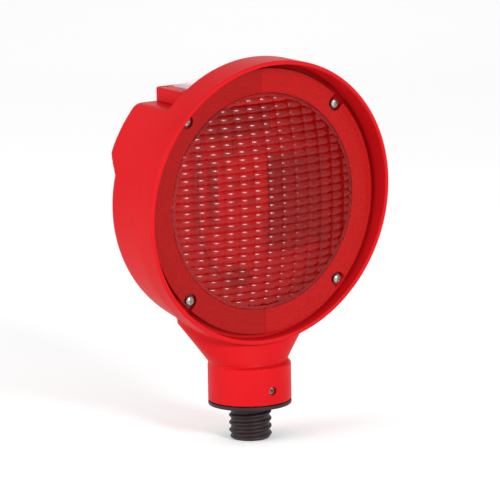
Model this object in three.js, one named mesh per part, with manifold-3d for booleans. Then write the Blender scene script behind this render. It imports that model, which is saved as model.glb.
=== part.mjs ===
// Solar hazard lamp: a round hooded head with a seven-inch prismatic lens, a solar module
// on its shoulder and a threaded adaptor at its foot, on which the head turns for aiming.
// Millimetres, +Z up, the lens faces -Y. The origin is on the axis of the thread, in the
// plane where the adaptor's flange seats.
import * as THREE from 'three';
import { mergeVertices } from 'three/addons/utils/BufferGeometryUtils.js';
import Module from 'manifold-3d';

const wasm = await Module();
wasm.setup();

// ---------------------------------------------------------------- driving dimensions
const GAP = 0.3; // clearance between pieces that bear on each other
const PAST = 1; // how far a cutting tool runs past what it cuts, and a post into its wall
const FAR = 130; // reach of a block that takes away everything beyond a plane

// The head is drawn about the centre of the lens face: X right, Y back, Z up.
const LENS_HEIGHT = 140; // lens centre above the flange seat
const NECK_BACK = 19.7; // thread axis behind the lens face

const LENS = { radius: 88.9, window: 72.7, rise: 11, front: 1.9, back: 3.7, wall: 2.4 };
const REFLEX = { inner: 73, outer: 88.9, back: 1.6, split: 0.4, notch: 5 };
const GASKET = { inner: 78, outer: 88, front: 4, back: 4.9 };
const SCREW_CIRCLE = 84.6;
const SCREW_ANGLES = [45, 135, 225, 315];

const HOOD = { lipRadius: 96.1, lipInner: 93.2, radius: 96.4, inner: 92.5, reach: 10.5, slope: 0.08 };
const RIM_BACK = 8; // rear edge of the round rim behind the lens face
const SEAT = 5.2; // lens seat behind the lens face
const WALL = 3;
const DRUM = { radius: 96.2, back: 38.5, rise: 7.5, round: 4 };
const LEDGE = 67.7; // flat top of the drum, which carries the solar module
const HUMP = { low: 25, back: 46.2, slope: 50, round: 1.5 }; // deeper upper part of the drum
const BEHIND_RIM = 0.5; // the drum's hollow begins this far behind the rim

const FUNNEL = {
  bottom: -112.3, top: -78, centre: NECK_BACK + 1,
  bottomHalfX: 26.6, halfXSlope: 0.87, bottomHalfY: 23.4, topHalfY: 16,
};
const SOCKET = { radius: 28.1, bottom: -137.2, top: -111.5, bore: 20.2, boreTop: -113, floor: -108 };

const ADAPTOR = {
  flange: 2.5, edge: 0.5, spigot: 19.7, spigotTop: 24.5, chamfer: 1, core: 8.5, coreTop: 18,
};
const THREAD = { radius: 14.4, length: 23.8, pitch: 5.1, depth: 1.4, chamfer: 2 };
const CLAMP = {
  height: 12.3, radius: 2.4, hole: 2.7, tip: 18.3, end: 25.6, point: 1, socket: 1.45, socketDepth: 3,
  groove: 18, grooveHalf: 3.2, grooveSlope: 0.8,
};
const O_RING = { height: 19.5, centre: 18.45, section: 1.35, groove: 16.8, grooveHalf: 1.75 };

const SOLAR = {
  halfX: 55, front: 8.4, back: 45, top: 77.4, corner: 2.5, crown: 4.5,
  pocketHalfX: 44, pocketMargin: 4, pocketDepth: 4.2, panel: 1.6, panelPlay: 0.6, cover: 2,
  seal: 1, sealWidth: 4, screwX: 50, screwInset: 4.6, sink: 2.2, sinkRadius: 3.1,
};
const LEAD_HOLE = { x: -20, y: 27, radius: 3 };

const LED_BOARD = { halfX: 20, halfZ: 23, z: 4, front: 24, thickness: 1.6 };
const LED = { radius: 2.5, flange: 2.9, flangeDepth: 1, height: 8.6, pitch: 13 };
const HOLDER = { x: 42, z: -6, halfX: 16.6, halfZ: 30, front: 13, back: 30.2, wall: 1.6 };
const CELL = { radius: 7.1, length: 49, nub: 2.7, nubLength: 1, pitch: 15, edge: 0.6 };
const CONTACT = { halfWidth: 5.5, halfDepth: 5, thickness: 0.6, button: 2.4, reach: 2.4 };
const CONTROL = { halfX: 32, low: 40, high: 62, front: 36, thickness: 1.6 };
const CHIP = { halfX: 4, low: 52, high: 57, height: 1.6 };
const COIL = { x: 11, z: 55, flange: 3.6, winding: 2.8, height: 6, cheek: 0.8, slope: 0.4 };
const CAPACITOR = { x: -11, z: 56, radius: 2.5, height: 9, edge: 0.4 };
const SWITCH = {
  z: -55, barrel: 5.9, hole: 6.2, flange: 8.5, flangeDepth: 2.5, bore: 4.8, floor: 10, edge: 0.6,
  button: 4.5, travel: 2.3, inner: 24, proud: 2.5, seal: 0.6, nut: 3, nutRadius: 8.6,
};
const LEAD = { radius: 0.8, sides: 6, stepLength: 4.8 };

// Self-tapping screws, and the posts they bite into: where post and hole end along the screw.
const SCREWS = {
  lens: { head: 3, height: 2.3, shank: 1.5, length: 13, hole: 1.8 },
  solar: { head: 2.6, height: 1.7, shank: 1.2, length: 11, hole: 1.5 },
  led: { head: 2.4, height: 1.7, shank: 1.2, length: 9, hole: 1.5 },
  holder: { head: 2, height: 1.3, shank: 1.2, length: 7.5, hole: 1.5 },
  control: { head: 2.4, height: 1.7, shank: 1.2, length: 7, hole: 1.5 },
};
const POSTS = {
  lens: { radius: 4.5, end: 18, holeEnd: 16.5 },
  solar: { radius: 3.4, end: 58, holeEnd: 59.5 },
  led: { radius: 3, end: DRUM.back - PAST, holeEnd: 34 },
  holder: { radius: 3.4, end: DRUM.back - PAST, holeEnd: 36.6 },
  control: { radius: 3, end: HUMP.back - PAST, holeEnd: 43.6 },
};
const LED_SCREW = { x: 15, z: 18 }; // from the middle of the board, at two opposite corners
const HOLDER_SCREW_Z = 16; // above and below the middle of the holder
const CONTROL_SCREW = { x: 28, z: 51 };

// ---------------------------------------------------------------- materials
const paint = (color, roughness, metalness = 0) => (
  new THREE.MeshStandardMaterial({ color, roughness, metalness })
);
const RED_PLASTIC = paint(0xe11c25, 0.32);
const RED_LENS = paint(0xb01c1e, 0.12);
const RED_REFLEX = paint(0xbe1f20, 0.18);
const BLACK_PLASTIC = paint(0x353133, 0.5);
const BLACK_RUBBER = paint(0x202020, 0.8);
const STEEL = paint(0xb9bcc0, 0.3, 0.9);
const NICKEL = paint(0xcfccc4, 0.35, 0.9);
const CLEAR_COVER = paint(0xf4dcdf, 0.08);
const SOLAR_CELL = paint(0x16203c, 0.25);
const WHITE_BOARD = paint(0xe8e6e0, 0.5);
const GREEN_BOARD = paint(0x1f5a35, 0.5);
const LED_EPOXY = paint(0xc8262a, 0.15);
const CELL_WRAP = paint(0x2a3430, 0.4);
const COPPER_COIL = paint(0x8a4a2a, 0.4, 0.6);
const RED_LEAD = paint(0xb3201f, 0.5);
const BLACK_LEAD = paint(0x1c1c1c, 0.5);

// ---------------------------------------------------------------- shape helpers
const HEAD_SIDES = 56; // facets of the large turned shapes of the head
const DRUM_SIDES = 38;
const NECK_SIDES = 40;
const POST_SIDES = 10;
const HOLE_SIDES = 8;

function solid(geometry) {
  const bare = geometry.clone();
  bare.deleteAttribute('normal');
  bare.deleteAttribute('uv');
  const merged = mergeVertices(bare, 1e-4);
  return new wasm.Manifold(new wasm.Mesh({
    numProp: 3,
    vertProperties: new Float32Array(merged.attributes.position.array),
    triVerts: new Uint32Array(merged.index.array),
  }));
}

function geometryOf(manifold) {
  const mesh = manifold.getMesh();
  const geometry = new THREE.BufferGeometry();
  geometry.setAttribute('position', new THREE.BufferAttribute(mesh.vertProperties, 3));
  geometry.setIndex(new THREE.BufferAttribute(mesh.triVerts, 1));
  geometry.computeVertexNormals();
  return geometry;
}

const join = (first, ...others) => others.reduce((sum, other) => sum.add(other), first);
const cut = (first, ...others) => others.reduce((rest, other) => rest.subtract(other), first);

// A turned solid: pairs of radius and place along the Y axis, from front to back.
function turnedY(profile, segments = 24) {
  const points = profile.map(([radius, along]) => new THREE.Vector2(radius, along));
  return new THREE.LatheGeometry(points, segments);
}

// The same about the Z axis, from bottom to top.
const turnedZ = (profile, segments = 24) => turnedY(profile, segments).rotateX(Math.PI / 2);

const rodY = (radius, from, to, x, z, segments = 16) => (
  new THREE.CylinderGeometry(radius, radius, to - from, segments).translate(x, (from + to) / 2, z)
);
const rodZ = (radius, from, to, x, y, segments = 16) => (
  new THREE.CylinderGeometry(radius, radius, to - from, segments)
    .rotateX(Math.PI / 2)
    .translate(x, y, (from + to) / 2)
);

// A block given by its lowest and highest corners.
function block([x0, y0, z0], [x1, y1, z1]) {
  const geometry = new THREE.BoxGeometry(x1 - x0, y1 - y0, z1 - z0);
  return geometry.translate((x0 + x1) / 2, (y0 + y1) / 2, (z0 + z1) / 2);
}

// An outline in the XZ plane, extruded from the front Y to the back Y, its edges rounded
// by a bevel that stays inside both the outline and the two ends.
function extrudedY(shape, front, back, round = 0, curveSegments = 12) {
  const geometry = new THREE.ExtrudeGeometry(shape, {
    depth: back - front - 2 * round,
    bevelEnabled: round > 0,
    bevelSize: round,
    bevelOffset: -round,
    bevelThickness: round,
    bevelSegments: 1,
    curveSegments,
  });
  return geometry.rotateX(Math.PI / 2).translate(0, back - round, 0);
}

const polar = (radius, degrees) => [
  radius * Math.cos(THREE.MathUtils.degToRad(degrees)),
  radius * Math.sin(THREE.MathUtils.degToRad(degrees)),
];

// ---------------------------------------------------------------- scene graph
const lamp = new THREE.Group();
const head = new THREE.Group();
head.position.set(0, -NECK_BACK, LENS_HEIGHT);
lamp.add(head);

function add(parent, name, geometry, material) {
  const mesh = new THREE.Mesh(geometry, material);
  mesh.name = name;
  parent.add(mesh);
  return mesh;
}

// ---------------------------------------------------------------- housing
// The drum's outline: a circle cut off flat by the ledge under the solar module.
function drumShape(inset) {
  const radius = DRUM.radius - inset;
  const start = Math.asin((LEDGE - inset) / radius);
  const shape = new THREE.Shape();
  shape.absarc(0, 0, radius, Math.PI - start, 2 * Math.PI + start, false);
  shape.closePath();
  return shape;
}

// The underside of the drum rises towards its back.
function raiseUnderside(geometry) {
  const place = geometry.attributes.position;
  for (let i = 0; i < place.count; i += 1) {
    const below = HUMP.low - place.getZ(i);
    const run = THREE.MathUtils.clamp((place.getY(i) - RIM_BACK) / (DRUM.back - RIM_BACK), 0, 1);
    if (below > 0) place.setZ(i, place.getZ(i) + run * DRUM.rise * below / (HUMP.low + DRUM.radius));
  }
  return geometry;
}

// The upper part of the drum stands further back and slopes in to the rest below.
function hump(inset) {
  const round = inset > 0 ? 0 : HUMP.round;
  const front = RIM_BACK + BEHIND_RIM;
  const body = extrudedY(drumShape(inset), front, HUMP.back - inset, round, DRUM_SIDES);
  const wedge = block([-FAR, 0, -FAR], [FAR, FAR, FAR]);
  wedge.rotateX(-THREE.MathUtils.degToRad(90 - HUMP.slope)).translate(0, DRUM.back - inset, HUMP.low);
  return cut(solid(body), solid(wedge));
}

// The funnel: elliptic sections that narrow from the drum down to the neck socket.
function funnel(inset, bottom) {
  const geometry = new THREE.CylinderGeometry(1, 1, 1, 32, 1).rotateX(Math.PI / 2);
  const place = geometry.attributes.position;
  for (let i = 0; i < place.count; i += 1) {
    const z = place.getZ(i) > 0 ? FUNNEL.top : bottom;
    const rise = (z - FUNNEL.bottom) / (FUNNEL.top - FUNNEL.bottom);
    const halfX = FUNNEL.bottomHalfX + FUNNEL.halfXSlope * (z - FUNNEL.bottom) - inset;
    const halfY = THREE.MathUtils.lerp(FUNNEL.bottomHalfY, FUNNEL.topHalfY, rise) - inset;
    place.setXYZ(i, place.getX(i) * halfX, FUNNEL.centre + place.getY(i) * halfY, z);
  }
  return geometry;
}

function housingOutside() {
  const front = -HOOD.reach - HOOD.slope * HOOD.radius - WALL;
  const rim = turnedY([
    [0, front], [HOOD.lipRadius, front], [HOOD.radius, RIM_BACK], [0, RIM_BACK],
  ], HEAD_SIDES);
  const lipCut = block([-FAR, -FAR, -FAR], [FAR, 0, FAR]);
  lipCut.rotateX(Math.atan(HOOD.slope)).translate(0, -HOOD.reach, 0);
  const drum = extrudedY(drumShape(0), SEAT - 2, DRUM.back, DRUM.round, DRUM_SIDES);
  const socket = turnedZ([
    [0, SOCKET.bottom], [SOCKET.radius, SOCKET.bottom], [SOCKET.radius, SOCKET.top - 1],
    [SOCKET.radius - 1, SOCKET.top], [0, SOCKET.top],
  ], NECK_SIDES).translate(0, NECK_BACK, 0);
  return join(
    solid(rim).subtract(solid(lipCut)), solid(raiseUnderside(drum)), hump(0),
    solid(funnel(0, FUNNEL.bottom)), solid(socket),
  );
}

function housingInside() {
  const front = -HOOD.reach - HOOD.slope * HOOD.radius - 2 * WALL;
  const recess = turnedY([
    [0, front], [HOOD.lipInner, front], [HOOD.inner, SEAT], [0, SEAT],
  ], HEAD_SIDES);
  const window = rodY(GASKET.inner - 1, SEAT - PAST, RIM_BACK + 2, 0, 0, 48);
  const ceiling = block([-FAR, 0, LEDGE - WALL], [FAR, DRUM.back, FAR]);
  const hollow = RIM_BACK + BEHIND_RIM;
  const drum = extrudedY(drumShape(WALL), hollow, DRUM.back - WALL, 0, DRUM_SIDES);
  const bore = rodZ(SOCKET.bore, SOCKET.bottom - PAST, SOCKET.boreTop, 0, NECK_BACK, NECK_SIDES);
  return join(
    solid(recess), solid(window).subtract(solid(ceiling)), solid(raiseUnderside(drum)),
    hump(WALL), solid(funnel(WALL, SOCKET.floor)), solid(bore),
  );
}

// Places of the screws: X and Z of those along Y, X and Y of the four under the solar module.
const PLACES = {
  lens: SCREW_ANGLES.map((angle) => polar(SCREW_CIRCLE, angle)),
  solar: [-1, 1].flatMap((side) => [
    [side * SOLAR.screwX, SOLAR.front + SOLAR.screwInset],
    [side * SOLAR.screwX, SOLAR.back - SOLAR.screwInset],
  ]),
  led: [[-LED_SCREW.x, LED_BOARD.z + LED_SCREW.z], [LED_SCREW.x, LED_BOARD.z - LED_SCREW.z]],
  holder: [[HOLDER.x, HOLDER.z + HOLDER_SCREW_Z], [HOLDER.x, HOLDER.z - HOLDER_SCREW_Z]],
  control: [[-CONTROL_SCREW.x, CONTROL_SCREW.z], [CONTROL_SCREW.x, CONTROL_SCREW.z]],
};
const POST_STARTS = {
  lens: RIM_BACK - PAST,
  led: LED_BOARD.front + LED_BOARD.thickness + GAP,
  holder: HOLDER.back + GAP,
  control: CONTROL.front + CONTROL.thickness + GAP,
};

function housingPosts() {
  const level = Object.entries(POST_STARTS).flatMap(([name, start]) => {
    const { radius, end } = POSTS[name];
    return PLACES[name].map(([x, z]) => rodY(radius, start, end, x, z, POST_SIDES));
  });
  const { radius, end } = POSTS.solar;
  const upright = PLACES.solar.map(([x, y]) => rodZ(radius, end, LEDGE - PAST, x, y, POST_SIDES));
  return [...level, ...upright].map(solid);
}

// Holes along Y for the screws of one kind, through whatever lies between two depths.
const screwHoles = (name, from, to) => PLACES[name].map(([x, z]) => (
  solid(rodY(SCREWS[name].hole, from, to, x, z, HOLE_SIDES))
));

// Holes along Z for the four screws of the solar module.
const solarHoles = (radius, from, to, sides) => PLACES.solar.map(([x, y]) => (
  solid(rodZ(radius, from, to, x, y, sides))
));

function housingHoles() {
  const neck = CLAMP.height - LENS_HEIGHT;
  const wall = NECK_BACK - SOCKET.radius;
  const back = DRUM.back - WALL;
  const lead = rodZ(LEAD_HOLE.radius, LEDGE - WALL - PAST, LEDGE + PAST, LEAD_HOLE.x, LEAD_HOLE.y);
  return [
    ...Object.entries(POST_STARTS).flatMap(([name, start]) => (
      screwHoles(name, start - 2 * PAST, POSTS[name].holeEnd)
    )),
    ...solarHoles(SCREWS.solar.hole, POSTS.solar.holeEnd, LEDGE + PAST, HOLE_SIDES),
    solid(rodY(CLAMP.hole, wall - PAST, NECK_BACK - SOCKET.bore + PAST, 0, neck, 20)),
    solid(rodY(SWITCH.hole, back - PAST, DRUM.back + PAST, 0, SWITCH.z, 24)),
    solid(lead),
  ];
}

const housing = join(housingOutside().subtract(housingInside()), ...housingPosts());
add(head, 'housing', geometryOf(cut(housing, ...housingHoles())), RED_PLASTIC);

// ---------------------------------------------------------------- lens and its ring
// Height of the dome's front face at a radius: a parabola that meets the rim at Y = 0.
const dome = (radius) => -LENS.rise * (1 - (radius / LENS.window) ** 2);

function lensGeometry() {
  const steps = [0, 0.25, 0.5, 0.75, 1];
  const outer = steps.map((step) => [step * LENS.window, dome(step * LENS.window)]);
  const hollow = LENS.window - LENS.wall;
  const inner = steps.map((step) => [step * hollow, dome(step * hollow) + LENS.wall]).reverse();
  const profile = [
    ...outer, [LENS.window, LENS.front], [LENS.radius, LENS.front], [LENS.radius, LENS.back],
    [hollow, LENS.back], ...inner,
  ];
  const holes = screwHoles('lens', LENS.front - PAST, LENS.back + PAST);
  return geometryOf(cut(solid(turnedY(profile, HEAD_SIDES)), ...holes));
}

function gasketGeometry() {
  const { inner, outer, front, back } = GASKET;
  const ring = turnedY([
    [inner, front], [outer, front], [outer, back], [inner, back], [inner, front],
  ], 40);
  return geometryOf(cut(solid(ring), ...screwHoles('lens', front - PAST, back + PAST)));
}

// Half of the reflex ring, with an open notch around each lens screw.
function reflexGeometry(side) {
  const start = side > 0 ? -Math.PI / 2 : Math.PI / 2;
  const shape = new THREE.Shape();
  shape.absarc(0, 0, REFLEX.outer, start, start + Math.PI, false);
  shape.absarc(0, 0, REFLEX.inner, start + Math.PI, start, true);
  const half = extrudedY(shape, 0, REFLEX.back, 0, 24);
  half.translate(side * REFLEX.split / 2, 0, 0);
  const notches = SCREW_ANGLES.flatMap((angle) => {
    const [x, z] = polar(SCREW_CIRCLE, angle);
    const [front, back] = [-PAST, REFLEX.back + PAST];
    const channel = block(
      [SCREW_CIRCLE, front, -REFLEX.notch], [REFLEX.outer + PAST, back, REFLEX.notch],
    );
    channel.rotateY(-THREE.MathUtils.degToRad(angle));
    return [solid(rodY(REFLEX.notch, front, back, x, z, 20)), solid(channel)];
  });
  return geometryOf(cut(solid(half), ...notches));
}

// A pan-head screw along +Y with a cross recess: its head bears at Y = 0.
function panScrew({ head: radius, height, shank, length }) {
  const body = turnedY([
    [0, -height], [0.7 * radius, -height], [radius, -0.6 * height],
    [radius, 0], [shank, 0], [shank, length - shank], [0, length],
  ], 10);
  const slotLength = 0.6 * radius;
  const slotWidth = 0.14 * radius;
  const front = -height - PAST;
  const bottom = -0.45 * height;
  const upright = block([-slotWidth, front, -slotLength], [slotWidth, bottom, slotLength]);
  const level = block([-slotLength, front, -slotWidth], [slotLength, bottom, slotWidth]);
  return cut(solid(body), solid(upright), solid(level));
}

function addScrews(name, kind, y) {
  const screw = panScrew(SCREWS[kind]);
  PLACES[kind].forEach(([x, z], index) => {
    add(head, `${name}_${index + 1}`, geometryOf(screw).translate(x, y, z), STEEL);
  });
}

add(head, 'lens', lensGeometry(), RED_LENS);
add(head, 'lens_gasket', gasketGeometry(), BLACK_RUBBER);
add(head, 'reflex_ring_right', reflexGeometry(1), RED_REFLEX);
add(head, 'reflex_ring_left', reflexGeometry(-1), RED_REFLEX);
addScrews('lens_screw', 'lens', LENS.front - GAP);

// ---------------------------------------------------------------- solar module
const SOLAR_BOTTOM = LEDGE + GAP;
const POCKET_FLOOR = SOLAR.top - SOLAR.pocketDepth;
const POCKET = {
  low: [-SOLAR.pocketHalfX, SOLAR.front + SOLAR.pocketMargin],
  high: [SOLAR.pocketHalfX, SOLAR.back - SOLAR.pocketMargin],
};
const inPocket = (inset, z0, z1) => block(
  [POCKET.low[0] + inset, POCKET.low[1] + inset, z0],
  [POCKET.high[0] - inset, POCKET.high[1] - inset, z1],
);

// Plan of the frame: a rectangle with rounded back corners.
function solarOutline() {
  const { halfX, front, back, corner } = SOLAR;
  const shape = new THREE.Shape();
  shape.moveTo(-halfX, front);
  shape.lineTo(halfX, front);
  shape.absarc(halfX - corner, back - corner, corner, 0, Math.PI / 2, false);
  shape.absarc(corner - halfX, back - corner, corner, Math.PI / 2, Math.PI, false);
  shape.closePath();
  return shape;
}

// The clear cover: a shell crowned along its length, on the rim of the pocket.
function solarCover() {
  const half = SOLAR.pocketHalfX - GAP;
  const low = SOLAR.top - SOLAR.cover;
  const shape = new THREE.Shape();
  shape.moveTo(-half, low);
  shape.quadraticCurveTo(0, low + 2 * SOLAR.crown, half, low);
  shape.lineTo(half, SOLAR.top);
  shape.quadraticCurveTo(0, SOLAR.top + 2 * SOLAR.crown, -half, SOLAR.top);
  shape.closePath();
  return extrudedY(shape, POCKET.low[1] + GAP, POCKET.high[1] - GAP, 0, 12);
}

function solarFrame() {
  const body = new THREE.ExtrudeGeometry(solarOutline(), {
    depth: SOLAR.top - SOLAR_BOTTOM, bevelEnabled: false, curveSegments: 5,
  }).translate(0, 0, SOLAR_BOTTOM);
  const [low, high] = [SOLAR_BOTTOM - PAST, SOLAR.top + PAST];
  const sealGroove = solid(inPocket(-GAP, low, SOLAR_BOTTOM + SOLAR.seal + GAP))
    .subtract(solid(inPocket(SOLAR.sealWidth + GAP, low, high)));
  const leadHole = rodZ(LEAD_HOLE.radius, low, POCKET_FLOOR + PAST, LEAD_HOLE.x, LEAD_HOLE.y);
  return geometryOf(cut(
    solid(body), solid(inPocket(0, POCKET_FLOOR, high)), sealGroove, solid(leadHole),
    ...solarHoles(SCREWS.solar.hole, low, SOLAR.top, HOLE_SIDES),
    ...solarHoles(SOLAR.sinkRadius, SOLAR.top - SOLAR.sink, high, 12),
  ));
}

function solarGasket() {
  const [low, high] = [SOLAR_BOTTOM, SOLAR_BOTTOM + SOLAR.seal];
  const outer = solid(inPocket(0, low, high));
  const inner = solid(inPocket(SOLAR.sealWidth, low - PAST, high + PAST));
  return geometryOf(outer.subtract(inner));
}

function solarPanel() {
  const low = POCKET_FLOOR + GAP;
  return inPocket(SOLAR.panelPlay, low, low + SOLAR.panel);
}

add(head, 'solar_frame', solarFrame(), RED_PLASTIC);
add(head, 'solar_gasket', solarGasket(), BLACK_RUBBER);
add(head, 'solar_panel', solarPanel(), SOLAR_CELL);
add(head, 'solar_cover', solarCover(), CLEAR_COVER);

const solarScrew = panScrew(SCREWS.solar).rotate([-90, 0, 0]);
PLACES.solar.forEach(([x, y], index) => {
  const seat = SOLAR.top - SOLAR.sink + GAP;
  add(head, `solar_screw_${index + 1}`, geometryOf(solarScrew).translate(x, y, seat), STEEL);
});

// ---------------------------------------------------------------- light source
function ledBoard() {
  const { halfX, halfZ, z, front, thickness } = LED_BOARD;
  const board = block([-halfX, front, z - halfZ], [halfX, front + thickness, z + halfZ]);
  return geometryOf(cut(solid(board), ...screwHoles('led', front - PAST, front + thickness + PAST)));
}

function ledGeometry() {
  const top = LED.height - LED.radius;
  const half = Math.SQRT1_2 * LED.radius;
  return turnedY([
    [0, -LED.height], [half, -top - half], [LED.radius, -top], [LED.radius, -LED.flangeDepth],
    [LED.flange, -LED.flangeDepth], [LED.flange, 0], [0, 0],
  ], 10);
}

add(head, 'led_board', ledBoard(), WHITE_BOARD);
[[-1, 1], [1, 1], [-1, -1], [1, -1]].forEach(([sideX, sideZ], index) => {
  const x = sideX * LED.pitch / 2;
  const z = LED_BOARD.z + sideZ * LED.pitch / 2;
  add(head, `led_${index + 1}`, ledGeometry().translate(x, LED_BOARD.front - GAP, z), LED_EPOXY);
});
addScrews('led_board_screw', 'led', LED_BOARD.front - GAP);

// ---------------------------------------------------------------- battery
function holderGeometry() {
  const { x, z, halfX, halfZ, front, back, wall } = HOLDER;
  const outside = block([x - halfX, front, z - halfZ], [x + halfX, back, z + halfZ]);
  const [roomX, roomZ] = [halfX - wall, halfZ - wall];
  const inside = block([x - roomX, front - PAST, z - roomZ], [x + roomX, back - wall, z + roomZ]);
  const holes = screwHoles('holder', back - wall - PAST, back + PAST);
  return geometryOf(cut(solid(outside), solid(inside), ...holes));
}

// One cell, its positive nub towards the given end of the holder.
function cellGeometry(end) {
  const half = CELL.length / 2;
  const { radius, nub, nubLength, edge } = CELL;
  const cell = turnedZ([
    [0, -half], [radius - edge, -half], [radius, edge - half], [radius, half - edge],
    [radius - edge, half], [nub, half], [nub, half + nubLength], [0, half + nubLength],
  ], 16);
  return end > 0 ? cell : cell.rotateX(Math.PI);
}

// A contact plate across part of an end wall, with a raised button at each cell.
function contactGeometry(end, places) {
  const { halfWidth, halfDepth, thickness, button, reach } = CONTACT;
  const wallZ = HOLDER.z + end * (HOLDER.halfZ - HOLDER.wall - GAP);
  const depth = (HOLDER.front + HOLDER.back) / 2;
  const low = Math.min(wallZ, wallZ - end * thickness);
  const x0 = Math.min(...places) - halfWidth;
  const x1 = Math.max(...places) + halfWidth;
  const plate = block([x0, depth - halfDepth, low], [x1, depth + halfDepth, low + thickness]);
  const ends = [wallZ - end * thickness / 2, wallZ - end * reach];
  const buttons = places.map((x) => (
    solid(rodZ(button, Math.min(...ends), Math.max(...ends), x, depth))
  ));
  return geometryOf(join(solid(plate), ...buttons));
}

const CELL_PLACES = [HOLDER.x - CELL.pitch / 2, HOLDER.x + CELL.pitch / 2];
const CELL_DEPTH = HOLDER.back - HOLDER.wall - GAP - CELL.radius;
add(head, 'battery_holder', holderGeometry(), BLACK_PLASTIC);
CELL_PLACES.forEach((x, index) => {
  const end = index === 0 ? 1 : -1;
  const geometry = cellGeometry(end).translate(x, CELL_DEPTH, HOLDER.z - end * CELL.nubLength / 2);
  add(head, `battery_cell_${index + 1}`, geometry, CELL_WRAP);
});
add(head, 'battery_contact_positive', contactGeometry(1, [CELL_PLACES[0]]), NICKEL);
add(head, 'battery_contact_negative', contactGeometry(1, [CELL_PLACES[1]]), NICKEL);
add(head, 'battery_link', contactGeometry(-1, CELL_PLACES), NICKEL);
addScrews('battery_holder_screw', 'holder', HOLDER.back - HOLDER.wall - GAP);

// ---------------------------------------------------------------- control board
function controlBoard() {
  const { halfX, low, high, front, thickness } = CONTROL;
  const board = block([-halfX, front, low], [halfX, front + thickness, high]);
  const holes = screwHoles('control', front - PAST, front + thickness + PAST);
  return geometryOf(cut(solid(board), ...holes));
}

// The control board's parts stand a gap's width in front of its face.
const CONTROL_FACE = CONTROL.front - GAP;

function controlChip() {
  const { halfX, low, high, height } = CHIP;
  return block([-halfX, CONTROL_FACE - height, low], [halfX, CONTROL_FACE, high]);
}

function controlCoil() {
  const { x, z, flange, winding, height, cheek, slope } = COIL;
  const [low, high] = [cheek - height, -cheek];
  return turnedY([
    [0, -height], [flange, -height], [flange, low], [winding, low + slope], [winding, high - slope],
    [flange, high], [flange, 0], [0, 0],
  ], 12).translate(x, CONTROL_FACE, z);
}

function controlCapacitor() {
  const { x, z, radius, height, edge } = CAPACITOR;
  return turnedY([
    [0, -height], [radius - edge, -height], [radius, edge - height], [radius, 0], [0, 0],
  ], 12).translate(x, CONTROL_FACE, z);
}

add(head, 'control_board', controlBoard(), GREEN_BOARD);
add(head, 'control_chip', controlChip(), BLACK_PLASTIC);
add(head, 'control_coil', controlCoil(), COPPER_COIL);
add(head, 'control_capacitor', controlCapacitor(), BLACK_PLASTIC);
addScrews('control_board_screw', 'control', CONTROL_FACE);

// ---------------------------------------------------------------- switch in the back wall
const SEAL_FRONT = DRUM.back + GAP;
const SEAL_BACK = SEAL_FRONT + SWITCH.seal;
const FLANGE_FRONT = SEAL_BACK + GAP;
const FLANGE_BACK = FLANGE_FRONT + SWITCH.flangeDepth;
const NUT_BACK = DRUM.back - WALL - GAP;
const NUT_FRONT = NUT_BACK - SWITCH.nut;

function switchBody() {
  const { barrel, flange, bore, floor, edge, inner } = SWITCH;
  return turnedY([
    [0, inner], [barrel - edge, inner], [barrel, inner + edge], [barrel, FLANGE_FRONT],
    [flange, FLANGE_FRONT], [flange, FLANGE_BACK - edge], [flange - edge, FLANGE_BACK],
    [bore, FLANGE_BACK], [bore, inner + floor], [0, inner + floor],
  ], 20);
}

function switchButton() {
  const { button, floor, travel, edge, inner, proud } = SWITCH;
  const [start, end] = [inner + floor + travel, FLANGE_BACK + proud];
  return turnedY([
    [0, start], [button, start], [button, end - edge], [button - edge, end], [0, end],
  ], 24);
}

function switchSeal() {
  const { hole, flange } = SWITCH;
  return turnedY([
    [hole, SEAL_FRONT], [flange, SEAL_FRONT], [flange, SEAL_BACK], [hole, SEAL_BACK],
    [hole, SEAL_FRONT],
  ], 24);
}

function switchNut() {
  const hexagon = rodY(SWITCH.nutRadius, NUT_FRONT, NUT_BACK, 0, 0, 6);
  const bore = rodY(SWITCH.hole, NUT_FRONT - PAST, NUT_BACK + PAST, 0, 0, 24);
  return geometryOf(solid(hexagon).subtract(solid(bore)));
}

add(head, 'switch_body', switchBody().translate(0, 0, SWITCH.z), BLACK_PLASTIC);
add(head, 'switch_button', switchButton().translate(0, 0, SWITCH.z), RED_PLASTIC);
add(head, 'switch_seal', switchSeal().translate(0, 0, SWITCH.z), BLACK_RUBBER);
add(head, 'switch_nut', switchNut().translate(0, 0, SWITCH.z), NICKEL);

// ---------------------------------------------------------------- internal leads
// Each lead is held at both of its ends; its points run from end to end.
const boardPin = (x, z) => [[x, CONTROL_FACE, z], [x, CONTROL_FACE - 4, z - 1]];
const holderTop = HOLDER.z + HOLDER.halfZ + GAP;
const holderDepth = HOLDER.front + 8;
const ledBack = LED_BOARD.front + LED_BOARD.thickness + GAP;
const switchPin = (x) => [[x, SWITCH.inner - 4, SWITCH.z], [x, SWITCH.inner - GAP, SWITCH.z]];
const solarRoute = (x) => [
  [x, LEAD_HOLE.y, POCKET_FLOOR], [x, LEAD_HOLE.y, 65], [x, 30, 58.5],
  [x, CONTROL_FACE - 3, 55.4], [x, CONTROL_FACE, 55],
];
const ledRoute = (x) => [
  ...boardPin(x, 45), [x, 31, 34], [x, 30.4, 25], [x, ledBack + 3, 20.4], [x, ledBack, 20],
];
const batteryRoute = (pinX, bend, x) => [
  ...boardPin(pinX, 46), bend, [x - 3, holderDepth, holderTop + 6.5], [x, holderDepth, holderTop],
];
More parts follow.
